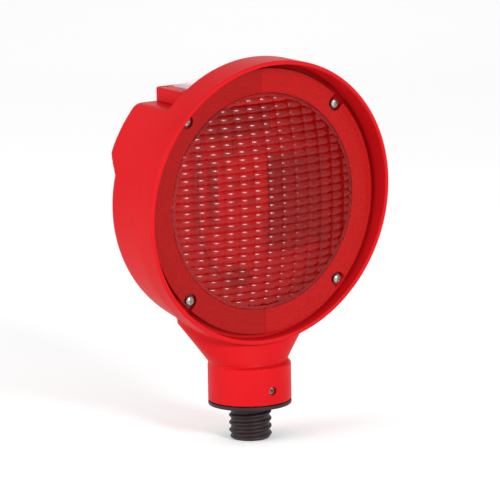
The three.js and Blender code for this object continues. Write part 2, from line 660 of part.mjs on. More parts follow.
const LEADS = {
  solar_lead_positive: [RED_LEAD, solarRoute(-21.2)],
  solar_lead_negative: [BLACK_LEAD, solarRoute(-18.8)],
  led_lead_positive: [RED_LEAD, ledRoute(-5)],
  led_lead_negative: [BLACK_LEAD, ledRoute(-2.4)],
  battery_lead_positive: [RED_LEAD, batteryRoute(20, [25, 27, 39], 34.5)],
  battery_lead_negative: [BLACK_LEAD, batteryRoute(23, [30, 28, 40], 49.5)],
  switch_lead_1: [
    RED_LEAD, [
      ...boardPin(-24, 46), [-27, 30, 32], [-27, 30, -24], [-18, 25, -45], [-7, 20, -53],
      ...switchPin(-3),
    ],
  ],
  switch_lead_2: [
    BLACK_LEAD, [
      ...boardPin(-27, 46), [-30, 30, 32], [-30, 30, -26], [-20, 22, -51], [-6, 17.5, -58],
      ...switchPin(3),
    ],
  ],
};

function leadGeometry(points) {
  const path = new THREE.CatmullRomCurve3(points.map((point) => new THREE.Vector3(...point)));
  const corners = Array.from({ length: LEAD.sides }, (_, i) => polar(LEAD.radius, 360 * i / LEAD.sides));
  const section = new THREE.Shape(corners.map((corner) => new THREE.Vector2(...corner)));
  const steps = Math.round(path.getLength() / LEAD.stepLength);
  return new THREE.ExtrudeGeometry(section, { steps, extrudePath: path, bevelEnabled: false });
}

Object.entries(LEADS).forEach(([name, [material, points]]) => {
  add(head, name, leadGeometry(points), material);
});

// ---------------------------------------------------------------- clamp screw
function clampScrew() {
  const { radius, tip, end, point, socket, socketDepth } = CLAMP;
  const body = turnedY([
    [0, -end], [radius, -end], [radius, -tip - point], [radius - point, -tip], [0, -tip],
  ], 16);
  const hexSocket = rodY(socket, -end - PAST, socketDepth - end, 0, 0, 6);
  return geometryOf(solid(body).subtract(solid(hexSocket)));
}

add(lamp, 'clamp_screw', clampScrew().translate(0, 0, CLAMP.height), STEEL);

// ---------------------------------------------------------------- threaded adaptor
// The male thread: a cylinder whose radius follows a helix of rounded crests.
function threadGeometry() {
  const { radius, length, pitch, depth, chamfer } = THREAD;
  const geometry = new THREE.CylinderGeometry(1, 1, length + PAST, 24, 28).rotateX(Math.PI / 2);
  geometry.translate(0, 0, (PAST - length) / 2);
  const place = geometry.attributes.position;
  for (let i = 0; i < place.count; i += 1) {
    const [x, y, z] = [place.getX(i), place.getY(i), place.getZ(i)];
    const turn = Math.atan2(y, x) / (2 * Math.PI) - z / pitch;
    const crest = radius - depth * (0.5 - 0.5 * Math.cos(2 * Math.PI * turn));
    const reach = Math.min(crest, radius - chamfer + z + length);
    place.setXY(i, x * reach, y * reach);
  }
  return geometry;
}

function adaptorGeometry() {
  const { flange, edge, spigot, spigotTop, chamfer, core, coreTop } = ADAPTOR;
  const { groove, grooveSlope } = CLAMP;
  const grooveLow = CLAMP.height - CLAMP.grooveHalf;
  const grooveHigh = CLAMP.height + CLAMP.grooveHalf;
  const ringLow = O_RING.height - O_RING.grooveHalf;
  const ringHigh = O_RING.height + O_RING.grooveHalf;
  const body = turnedZ([
    [0, 0], [SOCKET.radius - edge, 0], [SOCKET.radius, edge], [SOCKET.radius, flange], [spigot, flange],
    [spigot, grooveLow], [groove, grooveLow + grooveSlope], [groove, grooveHigh - grooveSlope],
    [spigot, grooveHigh], [spigot, ringLow], [O_RING.groove, ringLow], [O_RING.groove, ringHigh],
    [spigot, ringHigh], [spigot, spigotTop - chamfer], [spigot - chamfer, spigotTop], [0, spigotTop],
  ], 32);
  const bore = rodZ(core, -THREAD.length - PAST, coreTop, 0, 0, 20);
  return geometryOf(cut(join(solid(body), solid(threadGeometry())), solid(bore)));
}

add(lamp, 'threaded_adaptor', adaptorGeometry(), BLACK_PLASTIC);
add(
  lamp, 'adaptor_o_ring',
  new THREE.TorusGeometry(O_RING.centre, O_RING.section, 6, 32).translate(0, 0, O_RING.height),
  BLACK_RUBBER,
);

export default lamp;
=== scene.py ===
"""The looks of a round solar hazard lamp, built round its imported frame.

The housing, the prismatic lens, the reflex ring, the solar frame and cover, the threaded adaptor,
the switch and its button, the LEDs and the screws that can be seen from outside are replaced by
finer meshes. The other CAD nodes stay, and everything gets a procedural material.
Shapes are in millimetres from the centre of the lens face (X right, Y back, Z up) and are
written to the meshes in metres in the row frame.
"""
import math

import bmesh
import bpy
import numpy as np
from mathutils import Matrix, Vector


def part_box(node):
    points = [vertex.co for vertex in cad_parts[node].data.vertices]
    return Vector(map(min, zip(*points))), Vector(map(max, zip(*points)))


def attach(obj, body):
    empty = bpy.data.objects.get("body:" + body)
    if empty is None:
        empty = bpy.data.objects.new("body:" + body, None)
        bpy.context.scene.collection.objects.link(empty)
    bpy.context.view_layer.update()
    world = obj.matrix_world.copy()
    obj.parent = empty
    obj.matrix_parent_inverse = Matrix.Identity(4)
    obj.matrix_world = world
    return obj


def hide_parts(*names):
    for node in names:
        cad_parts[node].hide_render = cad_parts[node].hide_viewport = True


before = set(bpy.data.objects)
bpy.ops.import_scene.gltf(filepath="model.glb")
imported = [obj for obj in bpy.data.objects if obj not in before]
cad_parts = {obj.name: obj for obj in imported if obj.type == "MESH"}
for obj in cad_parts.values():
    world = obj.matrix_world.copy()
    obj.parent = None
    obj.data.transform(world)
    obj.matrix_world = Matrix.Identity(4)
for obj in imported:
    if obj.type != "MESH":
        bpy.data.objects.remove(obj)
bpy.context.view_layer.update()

MM = 0.001


# ------------------------------------------------------------------ sizes from the frame
def corners(*nodes):
    """The lowest and highest corner over some CAD nodes, in millimetres in the row frame."""
    boxes = [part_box(node) for node in nodes]
    low = np.min([np.array(box[0]) for box in boxes], axis=0)
    high = np.max([np.array(box[1]) for box in boxes], axis=0)
    return low / MM, high / MM


LENS_LOW, LENS_HIGH = corners("lens")
RING_LOW, _ = corners("reflex_ring_left", "reflex_ring_right")
HEAD = np.array([0.0, RING_LOW[1], (LENS_LOW[2] + LENS_HIGH[2]) / 2])


def head_box(*nodes):
    """The same corners, from the centre of the lens face."""
    low, high = corners(*nodes)
    return low - HEAD, high - HEAD


HOUSING_LOW, HOUSING_HIGH = head_box("housing")
SOLAR_LOW, SOLAR_HIGH = head_box("solar_frame")
COVER_LOW, COVER_HIGH = head_box("solar_cover")
ADAPTOR_LOW, ADAPTOR_HIGH = head_box("threaded_adaptor")
BUTTON_LOW, BUTTON_HIGH = head_box("switch_button")
BARREL_LOW, BARREL_HIGH = head_box("switch_body")
CLAMP_LOW, CLAMP_HIGH = head_box("clamp_screw")

NECK_BACK = -HEAD[1]  # the thread's axis, behind the lens face
SEAT_PLANE = -HEAD[2]  # where the adaptor's flange seats

LENS_RADIUS = LENS_HIGH[0]
LENS_BACK = LENS_HIGH[1] - HEAD[1]
DOME_RISE = HEAD[1] - LENS_LOW[1]
WINDOW = 72.7  # radius of the prismatic dome
LENS_FRONT = 1.9  # front face of the lens flange
LENS_WALL = 2.9
FLANGE_INNER = 70.2
SCREW_CIRCLE = 84.6
SCREW_ANGLES = [math.radians(angle) for angle in (45, 135, 225, 315)]
SCREW_PLACES = [(SCREW_CIRCLE * math.cos(a), SCREW_CIRCLE * math.sin(a)) for a in SCREW_ANGLES]
LENS_SCREW_HOLE, LENS_HOLE_BACK = 1.8, 16.5

RIM_RADIUS = HOUSING_HIGH[0]
RIM_BACK = 8.0
LIP_RADIUS, LIP_INNER, RECESS = RIM_RADIUS - 0.3, 93.2, 92.5
HOOD_REACH, HOOD_SLOPE = 10.5, 0.08
SEAT = 5.2  # what the lens seal bears on
OPENING, OPENING_BACK = 77.0, 2  # radius of the hole behind the lens, and how far behind the rim

WALL = 3.0
DRUM_RADIUS, DRUM_BACK, DRUM_RISE, DRUM_ROUND = 96.2, 38.5, 7.5, 4.0
LEDGE = SOLAR_LOW[2] - 0.3
HUMP_LOW, HUMP_BACK, HUMP_SLOPE, HUMP_ROUND = 25.0, HOUSING_HIGH[1], math.radians(50), 1.6
FUNNEL_LOW, FUNNEL_HIGH = -112.3, -78.0
FUNNEL_HALF_X, FUNNEL_SPREAD = 26.6, 0.87  # half width at the bottom, and its growth upwards
FUNNEL_HALF_Y, FUNNEL_TOP_Y, FUNNEL_SHIFT = 23.4, 16, 1  # half depths, and its shift to the back
SOCKET_RADIUS, SOCKET_TOP, SOCKET_FLOOR = ADAPTOR_HIGH[0], -111.5, -108.0
SOCKET_LOW = HOUSING_LOW[2]
BORE, BORE_TOP = 20.2, -113.0
FUNNEL_FILLET, SOCKET_FILLET, SOCKET_EDGE, INNER_EDGE = 2.5, 1, 1.2, 0.5
OVERLAP = 0.5  # how far the hollow body stays out of the turned rim's faces
BODY_FRONT, HOLLOW_FRONT = SEAT + 0.4, RIM_BACK + OVERLAP
NET_STEP = 1.3  # spacing of the housing's mesh
CLAMP_HOLE, CLAMP_Z = 2.7, (CLAMP_LOW[2] + CLAMP_HIGH[2]) / 2
SWITCH_HOLE, SWITCH_Z = 6.2, (BUTTON_LOW[2] + BUTTON_HIGH[2]) / 2
LEAD_HOLE, LEAD_PLACE = 3, (-20, 27, 0)  # where the solar leads go down


# ------------------------------------------------------------------ mesh helpers
def new_object(name, vertices, faces, at=HEAD):
    """A closed mesh object from points in millimetres, moved by at, with its faces outward."""
    mesh = bpy.data.meshes.new(name)
    placed = (np.asarray(vertices, float).reshape(-1, 3) + at) * MM
    mesh.from_pydata(placed.tolist(), [], faces if isinstance(faces, list) else faces.tolist())
    work = bmesh.new()
    work.from_mesh(mesh)
    bmesh.ops.remove_doubles(work, verts=work.verts, dist=1e-6)
    bmesh.ops.recalc_face_normals(work, faces=work.faces)
    work.to_mesh(mesh)
    work.free()
    made = bpy.data.objects.new(name, mesh)
    bpy.context.scene.collection.objects.link(made)
    return made


def grid_faces(rows, columns, close_rows=False, close_columns=False, first=0):
    """Quads over a grid of rows by columns points, closed round either way if asked."""
    i = np.arange(rows if close_rows else rows - 1)
    j = np.arange(columns if close_columns else columns - 1)
    i, j = (a.ravel() for a in np.meshgrid(i, j, indexing="ij"))
    i1, j1 = (i + 1) % rows, (j + 1) % columns
    row, next_row = i * columns, i1 * columns
    return first + np.stack([row + j, row + j1, next_row + j1, next_row + j], 1)


def rounded(points, steps=4):
    """An outline in which each (u, v, radius) corner is replaced by an arc; (u, v) stays sharp."""
    outline = []
    for index, point in enumerate(points):
        here = np.array(point[:2], float)
        if len(point) < 3 or index in (0, len(points) - 1):
            outline.append(tuple(here))
            continue
        back = np.array(points[index - 1][:2], float) - here
        ahead = np.array(points[index + 1][:2], float) - here
        back, ahead = back / np.linalg.norm(back), ahead / np.linalg.norm(ahead)
        half = math.acos(np.clip(back @ ahead, -1, 1)) / 2
        middle = (back + ahead) / np.linalg.norm(back + ahead)
        centre = here + middle * point[2] / math.sin(half)
        start = here + back * point[2] / math.tan(half) - centre
        end = here + ahead * point[2] / math.tan(half) - centre
        turn = math.atan2(start[0] * end[1] - start[1] * end[0], start @ end)
        for step in range(steps + 1):
            a = turn * step / steps
            outline.append((
                centre[0] + start[0] * math.cos(a) - start[1] * math.sin(a),
                centre[1] + start[0] * math.sin(a) + start[1] * math.cos(a),
            ))
    return outline


def turned_points(profile, segments, axis):
    """Points of a profile of (radius, place) turned about Y or Z, and the quads between them."""
    profile = np.array(profile, float)
    ring = np.allclose(profile[0], profile[-1])
    if ring:
        profile = profile[:-1]
    angle = np.arange(segments) * 2 * math.pi / segments
    across = np.outer(profile[:, 0], np.cos(angle))
    up = np.outer(profile[:, 0], np.sin(angle))
    along = np.repeat(profile[:, 1:], segments, 1)
    parts = [across, along, up] if axis == "Y" else [across, up, along]
    return np.stack(parts, -1), grid_faces(len(profile), segments, ring, True)


def turned(name, profile, segments=64, axis="Y", centre=(0, 0, 0), at=HEAD):
    """A solid turned from a profile that starts and ends on the axis, or ends where it starts."""
    points, faces = turned_points(profile, segments, axis)
    return new_object(name, points.reshape(-1, 3) + np.array(centre), faces, at)


def rod(name, radius, start, end, axis, centre, segments=24):
    profile = [(0, start), (radius, start), (radius, end), (0, end)]
    return turned(name, profile, segments, axis, centre)


def block(name, low, high, at=HEAD):
    x, y, z = zip(low, high)
    points = [(a, b, c) for a in x for b in y for c in z]
    faces = [(0, 1, 3, 2), (4, 6, 7, 5), (0, 4, 5, 1), (2, 3, 7, 6), (0, 2, 6, 4), (1, 5, 7, 3)]
    return new_object(name, points, faces, at)


def extruded(name, outline, sections):
    """A solid of one outline: sections are (inset, height) pairs from bottom to top, and the
    outline is a function of the inset that returns XY points."""
    count = len(outline(0))
    rows = [np.column_stack([outline(inset), np.full(count, z)]) for inset, z in sections]
    faces = grid_faces(len(rows), count, False, True).tolist()
    faces += [list(range(count)), list(range((len(rows) - 1) * count, len(rows) * count))]
    return new_object(name, np.concatenate(rows), faces)


def combined(operation, base, tools):
    """The base after an exact boolean with each tool, which is used up."""
    for tool in tools:
        modifier = base.modifiers.new(tool.name, "BOOLEAN")
        modifier.operation = operation
        modifier.solver = "MANIFOLD"
        modifier.object = tool
    graph = bpy.context.evaluated_depsgraph_get()
    mesh = bpy.data.meshes.new_from_object(base.evaluated_get(graph))
    base.modifiers.clear()
    base.data = mesh
    for tool in tools:
        bpy.data.objects.remove(tool)
    return base


def joined(base, *tools):
    return combined("UNION", base, tools)


def cut(base, *tools):
    return combined("DIFFERENCE", base, tools)


def kept(base, *tools):
    return combined("INTERSECT", base, tools)


def finished(piece, body, node, material, sharp=32, weighted=True):
    """Gives a piece its material and smooth shading, puts it under its body, and hides the CAD node
    that it replaces.
    """
    piece.data.materials.clear()
    piece.data.materials.append(material)
    piece.data.shade_smooth()
    piece.data.set_sharp_from_angle(angle=math.radians(sharp))
    if weighted:
        even = piece.modifiers.new("even_normals", "WEIGHTED_NORMAL")
        even.keep_sharp = True
    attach(piece, body)
    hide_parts(node)


# ------------------------------------------------------------------ surface of a distance field
def rounded_both(a, b, radius):
    """The part inside both fields, with a rounded edge where they meet."""
    corner = np.hypot(np.maximum(a + radius, 0), np.maximum(b + radius, 0))
    return np.minimum(np.maximum(a, b), -radius) + corner


def filleted_either(a, b, radius):
    """The part inside either field, with a fillet where they meet."""
    corner = np.hypot(np.maximum(radius - a, 0), np.maximum(radius - b, 0))
    return np.maximum(np.minimum(a, b), radius) - corner


def surface_net(field, low, high, step):
    """A closed quad mesh of the surface where field(x, y, z) is 0, with one vertex in each
    grid cell that the surface passes through, moved along the field's slope onto the surface."""
    axes = [np.arange(a, b + step, step) for a, b in zip(low, high)]
    points = np.stack(np.meshgrid(*axes, indexing="ij"), -1)
    value = field(points[..., 0], points[..., 1], points[..., 2])
    cells = np.array(value.shape) - 1
    total, count = np.zeros((*cells, 3)), np.zeros(cells)
    crossings = []
    for axis in range(3):
        one, two = (axis + 1) % 3, (axis + 2) % 3
        first, last = [slice(None)] * 3, [slice(None)] * 3
        first[axis], last[axis] = slice(0, -1), slice(1, None)
        a, b = value[tuple(first)], value[tuple(last)]
        crossing = (a < 0) != (b < 0)
        crossings.append((one, two, crossing, a < 0))
        share = np.where(crossing, a / np.where(crossing, a - b, 1), 0)
        place = points[tuple(first)].copy()
        place[..., axis] += share * step
        place *= crossing[..., None]
        for i in (0, 1):
            for j in (0, 1):
                part = [slice(None)] * 3
                part[one], part[two] = slice(i, i + cells[one]), slice(j, j + cells[two])
                total += place[tuple(part)]
                count += crossing[tuple(part)]
    used = count > 0
    index = np.cumsum(used.ravel()).reshape(used.shape) - 1
    vertices = total[used] / count[used][:, None]
    faces = []
    steps_back = [(1, 1), (0, 1), (0, 0), (1, 0)]
    for one, two, crossing, starts_inside in crossings:
        place = np.argwhere(crossing)
        quad = []
        for i, j in steps_back:
            cell = place.copy()
            cell[:, one] -= i
            cell[:, two] -= j
            quad.append(index[tuple(cell.T)])
        quad = np.stack(quad, 1)
        inside = starts_inside[tuple(place.T)]
        faces.append(np.where(inside[:, None], quad, quad[:, ::-1]))
    return settled(field, vertices, step), np.concatenate(faces)


def settled(field, vertices, step, rounds=5, reach=0.02):
    """The vertices moved onto the field's zero surface."""
    least = 0.1  # keeps a flat spot of the field from throwing its vertex away
    for _ in range(rounds):
        slope = np.stack([
            field(*(vertices + offset).T) - field(*(vertices - offset).T)
            for offset in np.eye(3) * reach
        ], -1) / (2 * reach)
        steep = np.maximum((slope ** 2).sum(-1), least)
        move = field(*vertices.T)[:, None] * slope / steep[:, None]
        vertices = vertices - np.clip(move, -step / 2, step / 2)
    return vertices


# ------------------------------------------------------------------ housing
def lowered(y, z):
    """Where a point of the drum would be if its underside didn't rise towards the back."""
    depth = np.clip((y - RIM_BACK) / (DRUM_BACK - RIM_BACK), 0, 1)
    share = depth * DRUM_RISE / (HUMP_LOW + DRUM_RADIUS)
    return np.where(z < HUMP_LOW, (z - share * HUMP_LOW) / (1 - share), z)


def drum_outline(x, z, corner=2.5):
    return rounded_both(np.hypot(x, z) - DRUM_RADIUS, z - LEDGE, corner)


def drum_field(x, y, z, inset, edge):
    outline = drum_outline(x, lowered(y, z)) + inset
    return rounded_both(outline, y - DRUM_BACK + inset, edge)


def hump_field(x, y, z, inset, edge):
    under = (y - DRUM_BACK) * math.sin(HUMP_SLOPE) - (z - HUMP_LOW) * math.cos(HUMP_SLOPE)
    outline = rounded_both(drum_outline(x, z) + inset, under + inset, edge)
    return rounded_both(outline, y - HUMP_BACK + inset, edge)


def funnel_field(x, y, z, inset, bottom):
    rise = (z - FUNNEL_LOW) / (FUNNEL_HIGH - FUNNEL_LOW)
    half_x = np.maximum(FUNNEL_HALF_X + FUNNEL_SPREAD * (z - FUNNEL_LOW) - inset, 1)
    half_y = np.maximum(FUNNEL_HALF_Y + (FUNNEL_TOP_Y - FUNNEL_HALF_Y) * rise - inset, 1)
    across, deep = x / half_x, (y - NECK_BACK - FUNNEL_SHIFT) / half_y
    level = np.hypot(across, deep)
    slope = np.hypot(across / half_x, deep / half_y)
    side = level * (level - 1) / np.maximum(slope, 1e-4)
    return np.maximum(side, np.maximum(bottom - z, z - FUNNEL_HIGH))


POSTS = [  # x, z, radius, front and back of each post: behind the lens, then on the back wall
    *[(x, z, 4.5, RIM_BACK - 1, 18) for x, z in SCREW_PLACES],
    *[(x, z, 3.0, 25.9, DRUM_BACK - 1) for x, z in ((-15, 22), (15, -14))],
    *[(42, z, 3.4, 30.5, DRUM_BACK - 1) for z in (10, -22)],
    *[(x, 51, 3.0, 37.9, HUMP_BACK - 1) for x in (-28, 28)],
]
SOLAR_SCREW_X, SOLAR_SCREW_MARGIN, SOLAR_SCREW_HOLE, SOLAR_HOLE_LOW = 50, 4.6, 1.5, 59.5
SOLAR_SCREWS = [
    (side * SOLAR_SCREW_X, y)
    for side in (-1, 1)
    for y in (SOLAR_LOW[1] + SOLAR_SCREW_MARGIN, SOLAR_HIGH[1] - SOLAR_SCREW_MARGIN)
]
SOLAR_POST, SOLAR_POST_LOW = 3.4, 58


def body_field(x, y, z):
    """The drum, the hump, the funnel and the neck socket, hollowed, with the posts inside."""
    front = BODY_FRONT - y
    shell = np.minimum(drum_field(x, y, z, 0, DRUM_ROUND), hump_field(x, y, z, 0, HUMP_ROUND))
    shell = np.maximum(shell, front)
    shell = filleted_either(shell, funnel_field(x, y, z, 0, FUNNEL_LOW), FUNNEL_FILLET)
    around = np.hypot(x, y - NECK_BACK)
    socket = rounded_both(around - SOCKET_RADIUS, z - SOCKET_TOP, SOCKET_EDGE)
    shell = filleted_either(shell, np.maximum(socket, SOCKET_LOW - z), SOCKET_FILLET)
    hollow = np.maximum(drum_field(x, y, z, WALL, INNER_EDGE), HOLLOW_FRONT - y)
    hump = np.maximum(hump_field(x, y, z, WALL, INNER_EDGE), HOLLOW_FRONT - y)
    hollow = np.minimum(hollow, hump)
    hollow = np.minimum(hollow, funnel_field(x, y, z, WALL, SOCKET_FLOOR))
    window = np.maximum(np.hypot(x, z) - OPENING, z - LEDGE + WALL)
    hollow = np.minimum(hollow, np.maximum(window, y - RIM_BACK - OPENING_BACK))
    for post_x, post_z, radius, start, end in POSTS:
        post = np.maximum(np.hypot(x - post_x, z - post_z) - radius, np.maximum(start - y, y - end))
        hollow = np.maximum(hollow, -post)
    for post_x, post_y in SOLAR_SCREWS:
        side = np.hypot(x - post_x, y - post_y) - SOLAR_POST
        post = np.maximum(side, np.maximum(SOLAR_POST_LOW - z, z - LEDGE))
        hollow = np.maximum(hollow, -post)
    hollow = np.minimum(hollow, np.maximum(around - BORE, z - BORE_TOP))
    recess = np.maximum(np.hypot(x, z) - RECESS - OVERLAP, -front)
    return np.maximum(shell, -np.minimum(hollow, recess))


def rim():
    """The round rim with its sloped hood and the seat of the lens."""
    profile = rounded([
        (OPENING, SEAT), (RECESS, SEAT, 0.4), (LIP_INNER, -HOOD_REACH, 1.0),
        (LIP_RADIUS, -HOOD_REACH, 1.3), (RIM_RADIUS, RIM_BACK, 0.5), (OPENING, RIM_BACK),
        (OPENING, SEAT),
    ], 6)
    points, faces = turned_points(profile, 256, "Y")
    reach = np.clip((SEAT - points[..., 1]) / (SEAT + HOOD_REACH), 0, None)
    points[..., 1] -= reach * HOOD_SLOPE * points[..., 2]
    return new_object("rim", points.reshape(-1, 3), faces)


def housing():
    """The whole moulding, with its holes for screws, switch, leads and the clamp screw."""
    low = (-RIM_RADIUS - 1, NECK_BACK - SOCKET_RADIUS - 2, SOCKET_LOW - 1.5)
    high = (RIM_RADIUS + 1, HUMP_BACK + 2, LEDGE + 2)
    shell = new_object("lamp_housing", *surface_net(body_field, low, high, NET_STEP))
    shell = joined(shell, rim())
    mouth, inside = NECK_BACK - SOCKET_RADIUS, NECK_BACK - BORE + 1
    holes = [turned("clamp_hole", [
        (0, mouth - 2), (CLAMP_HOLE + 2.8, mouth - 2), (CLAMP_HOLE, mouth + 0.8),
        (CLAMP_HOLE, inside), (0, inside),
    ], 32, "Y", (0, 0, CLAMP_Z))]
    depths, heights = (SEAT - 1, LENS_HOLE_BACK), (SOLAR_HOLE_LOW, LEDGE + 1)
    for i, (x, z) in enumerate(SCREW_PLACES):
        holes.append(rod(f"lens_hole_{i}", LENS_SCREW_HOLE, *depths, "Y", (x, 0, z)))
    for i, (x, y) in enumerate(SOLAR_SCREWS):
        holes.append(rod(f"solar_hole_{i}", SOLAR_SCREW_HOLE, *heights, "Z", (x, y, 0)))
    wall = (DRUM_BACK - WALL - 1, DRUM_BACK + 1)
    holes.append(rod("switch_hole", SWITCH_HOLE, *wall, "Y", (0, 0, SWITCH_Z), 48))
    holes.append(rod("lead_hole", LEAD_HOLE, LEDGE - WALL - 1, LEDGE + 1, "Z", LEAD_PLACE))
    return cut(shell, *holes)


# ------------------------------------------------------------------ lens
CELL = (11.1, 5.45)  # one lenslet of the dome, across and up
CELL_EDGE = (9.9, 0.6)  # where one edge of the pattern lies
CELL_CURVE = (16.0, 3.9)  # radius of a lenslet's curve, across and up
CELL_PARTS = (12, 16)  # facets of a lenslet, across and up
FLUTE = 1.85  # pitch of the fine upright flutes


def dome(radius):
    """Place of the dome's valleys along Y at a radius from its centre."""
    return -DOME_RISE * (1 - (radius / WINDOW) ** 2)


def bulge(place, pitch, edge, curve):
    """Height of a row of cylindrical lenslets above the valleys between them."""
    off = (place - edge) / pitch
    off = (off - np.floor(off) - 0.5) * pitch
    return np.sqrt(curve ** 2 - off ** 2) - math.sqrt(curve ** 2 - (pitch / 2) ** 2)


def sheet(name, x, front, back, z):
    """A closed solid between two depths over one grid of places."""
    rows, columns = x.shape
    points = np.concatenate([np.stack([x, y, z], -1).reshape(-1, 3) for y in (front, back)])
    behind = rows * columns
    edge = np.concatenate([
        np.arange(columns), np.arange(1, rows) * columns + columns - 1,
        behind - 2 - np.arange(columns - 1), np.arange(rows - 2, 0, -1) * columns,
    ])
    ahead = np.roll(edge, -1)
    sides = np.stack([edge, ahead, ahead + behind, edge + behind], 1)
    rear = grid_faces(rows, columns, first=behind)[:, ::-1]
    return new_object(name, points, np.concatenate([grid_faces(rows, columns), rear, sides]))


def lens():
    """The dome, with its lenslets in front and smooth behind, and its screw flange."""
    axes = []
    for pitch, edge, parts in zip(CELL, CELL_EDGE, CELL_PARTS):
        reach = (math.ceil(WINDOW / pitch) + 1) * parts
        places = edge + pitch * np.arange(-reach, reach + 1) / parts
        axes.append(places[np.abs(places) < WINDOW + 2])
    x, z = np.meshgrid(*axes, indexing="ij")
    crest = sum(
        curve - math.sqrt(curve ** 2 - (pitch / 2) ** 2) for curve, pitch in zip(CELL_CURVE, CELL)
    )
    lenslets = sum(bulge(*row) for row in zip((x, z), CELL, CELL_EDGE, CELL_CURVE))
    front = dome(np.hypot(x, z)) + crest - lenslets
    window = sheet("lamp_lens", x, front, np.full_like(x, LENS_BACK + 5), z)
    inside = [(r, dome(r) + LENS_WALL) for r in np.linspace(WINDOW, 0, 24)]
    ahead, behind = -30, 6  # in front of the dome, and behind the flange
    window = kept(window, turned("core", [(0, ahead), (WINDOW, ahead), *inside], 192))
    flange = turned("flange", rounded([
        (FLANGE_INNER, LENS_BACK), (FLANGE_INNER, -0.2), (WINDOW - 0.2, -0.2, 0.2),
        (WINDOW, LENS_FRONT, 0.3), (LENS_RADIUS, LENS_FRONT, 0.3), (LENS_RADIUS, LENS_BACK, 0.3),
        (FLANGE_INNER, LENS_BACK),
    ], 3), 192)
    holes = [
        rod(f"hole_{i}", LENS_SCREW_HOLE, 0, behind, "Y", (a, 0, b))
        for i, (a, b) in enumerate(SCREW_PLACES)
    ]
    return cut(joined(window, flange), *holes)


# ------------------------------------------------------------------ reflex ring
REFLEX_INNER, REFLEX_OUTER, REFLEX_BACK, REFLEX_SPLIT = 72.8, LENS_RADIUS, 1.6, 0.1
REFLEX_BORDER, REFLEX_RAMP = 0.8, 0.5  # width of the flat border, and of the slope inside it
PRISM, PRISM_SINK, PRISM_HEIGHT = 2.2, 0.05, 0.12  # pitch, least depth and height of the pyramids
NOTCH, NOTCH_FRONT, NOTCH_BACK, NOTCH_REACH = 5, -2, 4, 9


def put(x, y, z):
    """The matrix that moves a mesh to a place from the lens face."""
    return Matrix.Translation(Vector((np.array((x, y, z)) + HEAD) * MM))


def reflex_half(name, side):
    """Half a ring: a flat border round a sunken field of small pyramids, notched at the screws."""
    radii = np.linspace(REFLEX_INNER, REFLEX_OUTER, 41)
    angles = np.linspace(-math.pi / 2, math.pi / 2, 361)
    r, a = np.meshgrid(radii, angles, indexing="ij")
    x, z = side * (r * np.cos(a) + REFLEX_SPLIT), r * np.sin(a)
    border = np.minimum(r - REFLEX_INNER, REFLEX_OUTER - r)
    field = np.clip((border - REFLEX_BORDER) / REFLEX_RAMP, 0, 1)
    prism = np.abs((x / PRISM) % 1 - 0.5) + np.abs((z / PRISM) % 1 - 0.5)
    front = field * (PRISM_SINK + PRISM_HEIGHT * prism)
    half = sheet(name, x, front, np.full_like(x, REFLEX_BACK), z)
    notches = []
    for index, ((px, pz), angle) in enumerate(zip(SCREW_PLACES, SCREW_ANGLES)):
        if px * side > 0:
            depths = (NOTCH_FRONT, NOTCH_BACK)
            notches.append(rod(f"notch_{index}", NOTCH, *depths, "Y", (px, 0, pz), 48))
            low, high = (0, NOTCH_FRONT, -NOTCH), (NOTCH_REACH, NOTCH_BACK, NOTCH)
            channel = block(f"channel_{index}", low, high, at=(0, 0, 0))
            channel.data.transform(put(px, 0, pz) @ Matrix.Rotation(-angle, 4, "Y"))
            notches.append(channel)
    return cut(half, *notches)


# ------------------------------------------------------------------ screws
LENS_SCREW, LENS_SCREW_SEAT = (3, 2.3, 1.5, 13), LENS_FRONT - 0.3
SOLAR_SCREW, SOLAR_SCREW_SEAT = (2.6, 1.7, 1.2, 11), SOLAR_HIGH[2] - 1.9


def pan_screw(name, sizes, at, turn, upright=False):
    """A pan-head screw with a cross recess: the head bears on the plane through its place. The
    sizes are the head's radius and height, and the shank's radius and length."""
    head_radius, head_height, shank, length = sizes
    screw = turned(name, rounded([
        (0, -head_height), (0.55 * head_radius, -head_height, 0.8 * head_radius),
        (head_radius, -0.62 * head_height, 0.3), (head_radius, 0, 0.1), (shank, 0),
        (shank, length - 1.5, 0.5), (0, length),
    ], 4), 32, at=(0, 0, 0))
    reach, width, bottom, ahead = 0.62 * head_radius, 0.13 * head_radius, -0.42 * head_height, -9
    screw = cut(
        screw,
        block("slot_a", (-width, ahead, -reach), (width, bottom, reach), at=(0, 0, 0)),
        block("slot_b", (-reach, ahead, -width), (reach, bottom, width), at=(0, 0, 0)),
    )
    tilt = Matrix.Rotation(math.radians(-90), 4, "X") if upright else Matrix.Identity(4)
    screw.data.transform(put(*at) @ tilt @ Matrix.Rotation(turn, 4, "Y"))
    return screw


def clamp_screw():
    """A headless screw with a hexagon socket, in the small hole in the neck."""
    radius, socket, socket_depth = (CLAMP_HIGH[0] - CLAMP_LOW[0]) / 2, 1.45, 3
    front, back, place = CLAMP_LOW[1], CLAMP_HIGH[1], (0, 0, CLAMP_Z)
    screw = turned("neck_clamp_screw", rounded([
        (0, front), (radius, front, 0.3), (radius, back - 1), (radius - 1, back), (0, back),
    ], 3), 40, "Y", place)
    return cut(screw, rod("hex", socket, front - 1, front + socket_depth, "Y", place, 6))


# ------------------------------------------------------------------ solar module
POCKET_X, POCKET_MARGIN, POCKET_DEPTH = 44.0, 4.0, 4.2
GROOVE_OUTSIDE, GROOVE_INSIDE, GROOVE_DEPTH = 0.3, 4.3, 1.3  # the seal's, from the pocket's walls
WELL, WELL_MOUTH, WELL_DEPTH = 3.1, 3.6, 2.2  # radii and depth of the screws' wells
FRAME_EDGE = 0.7  # radius of the frame's upper edge


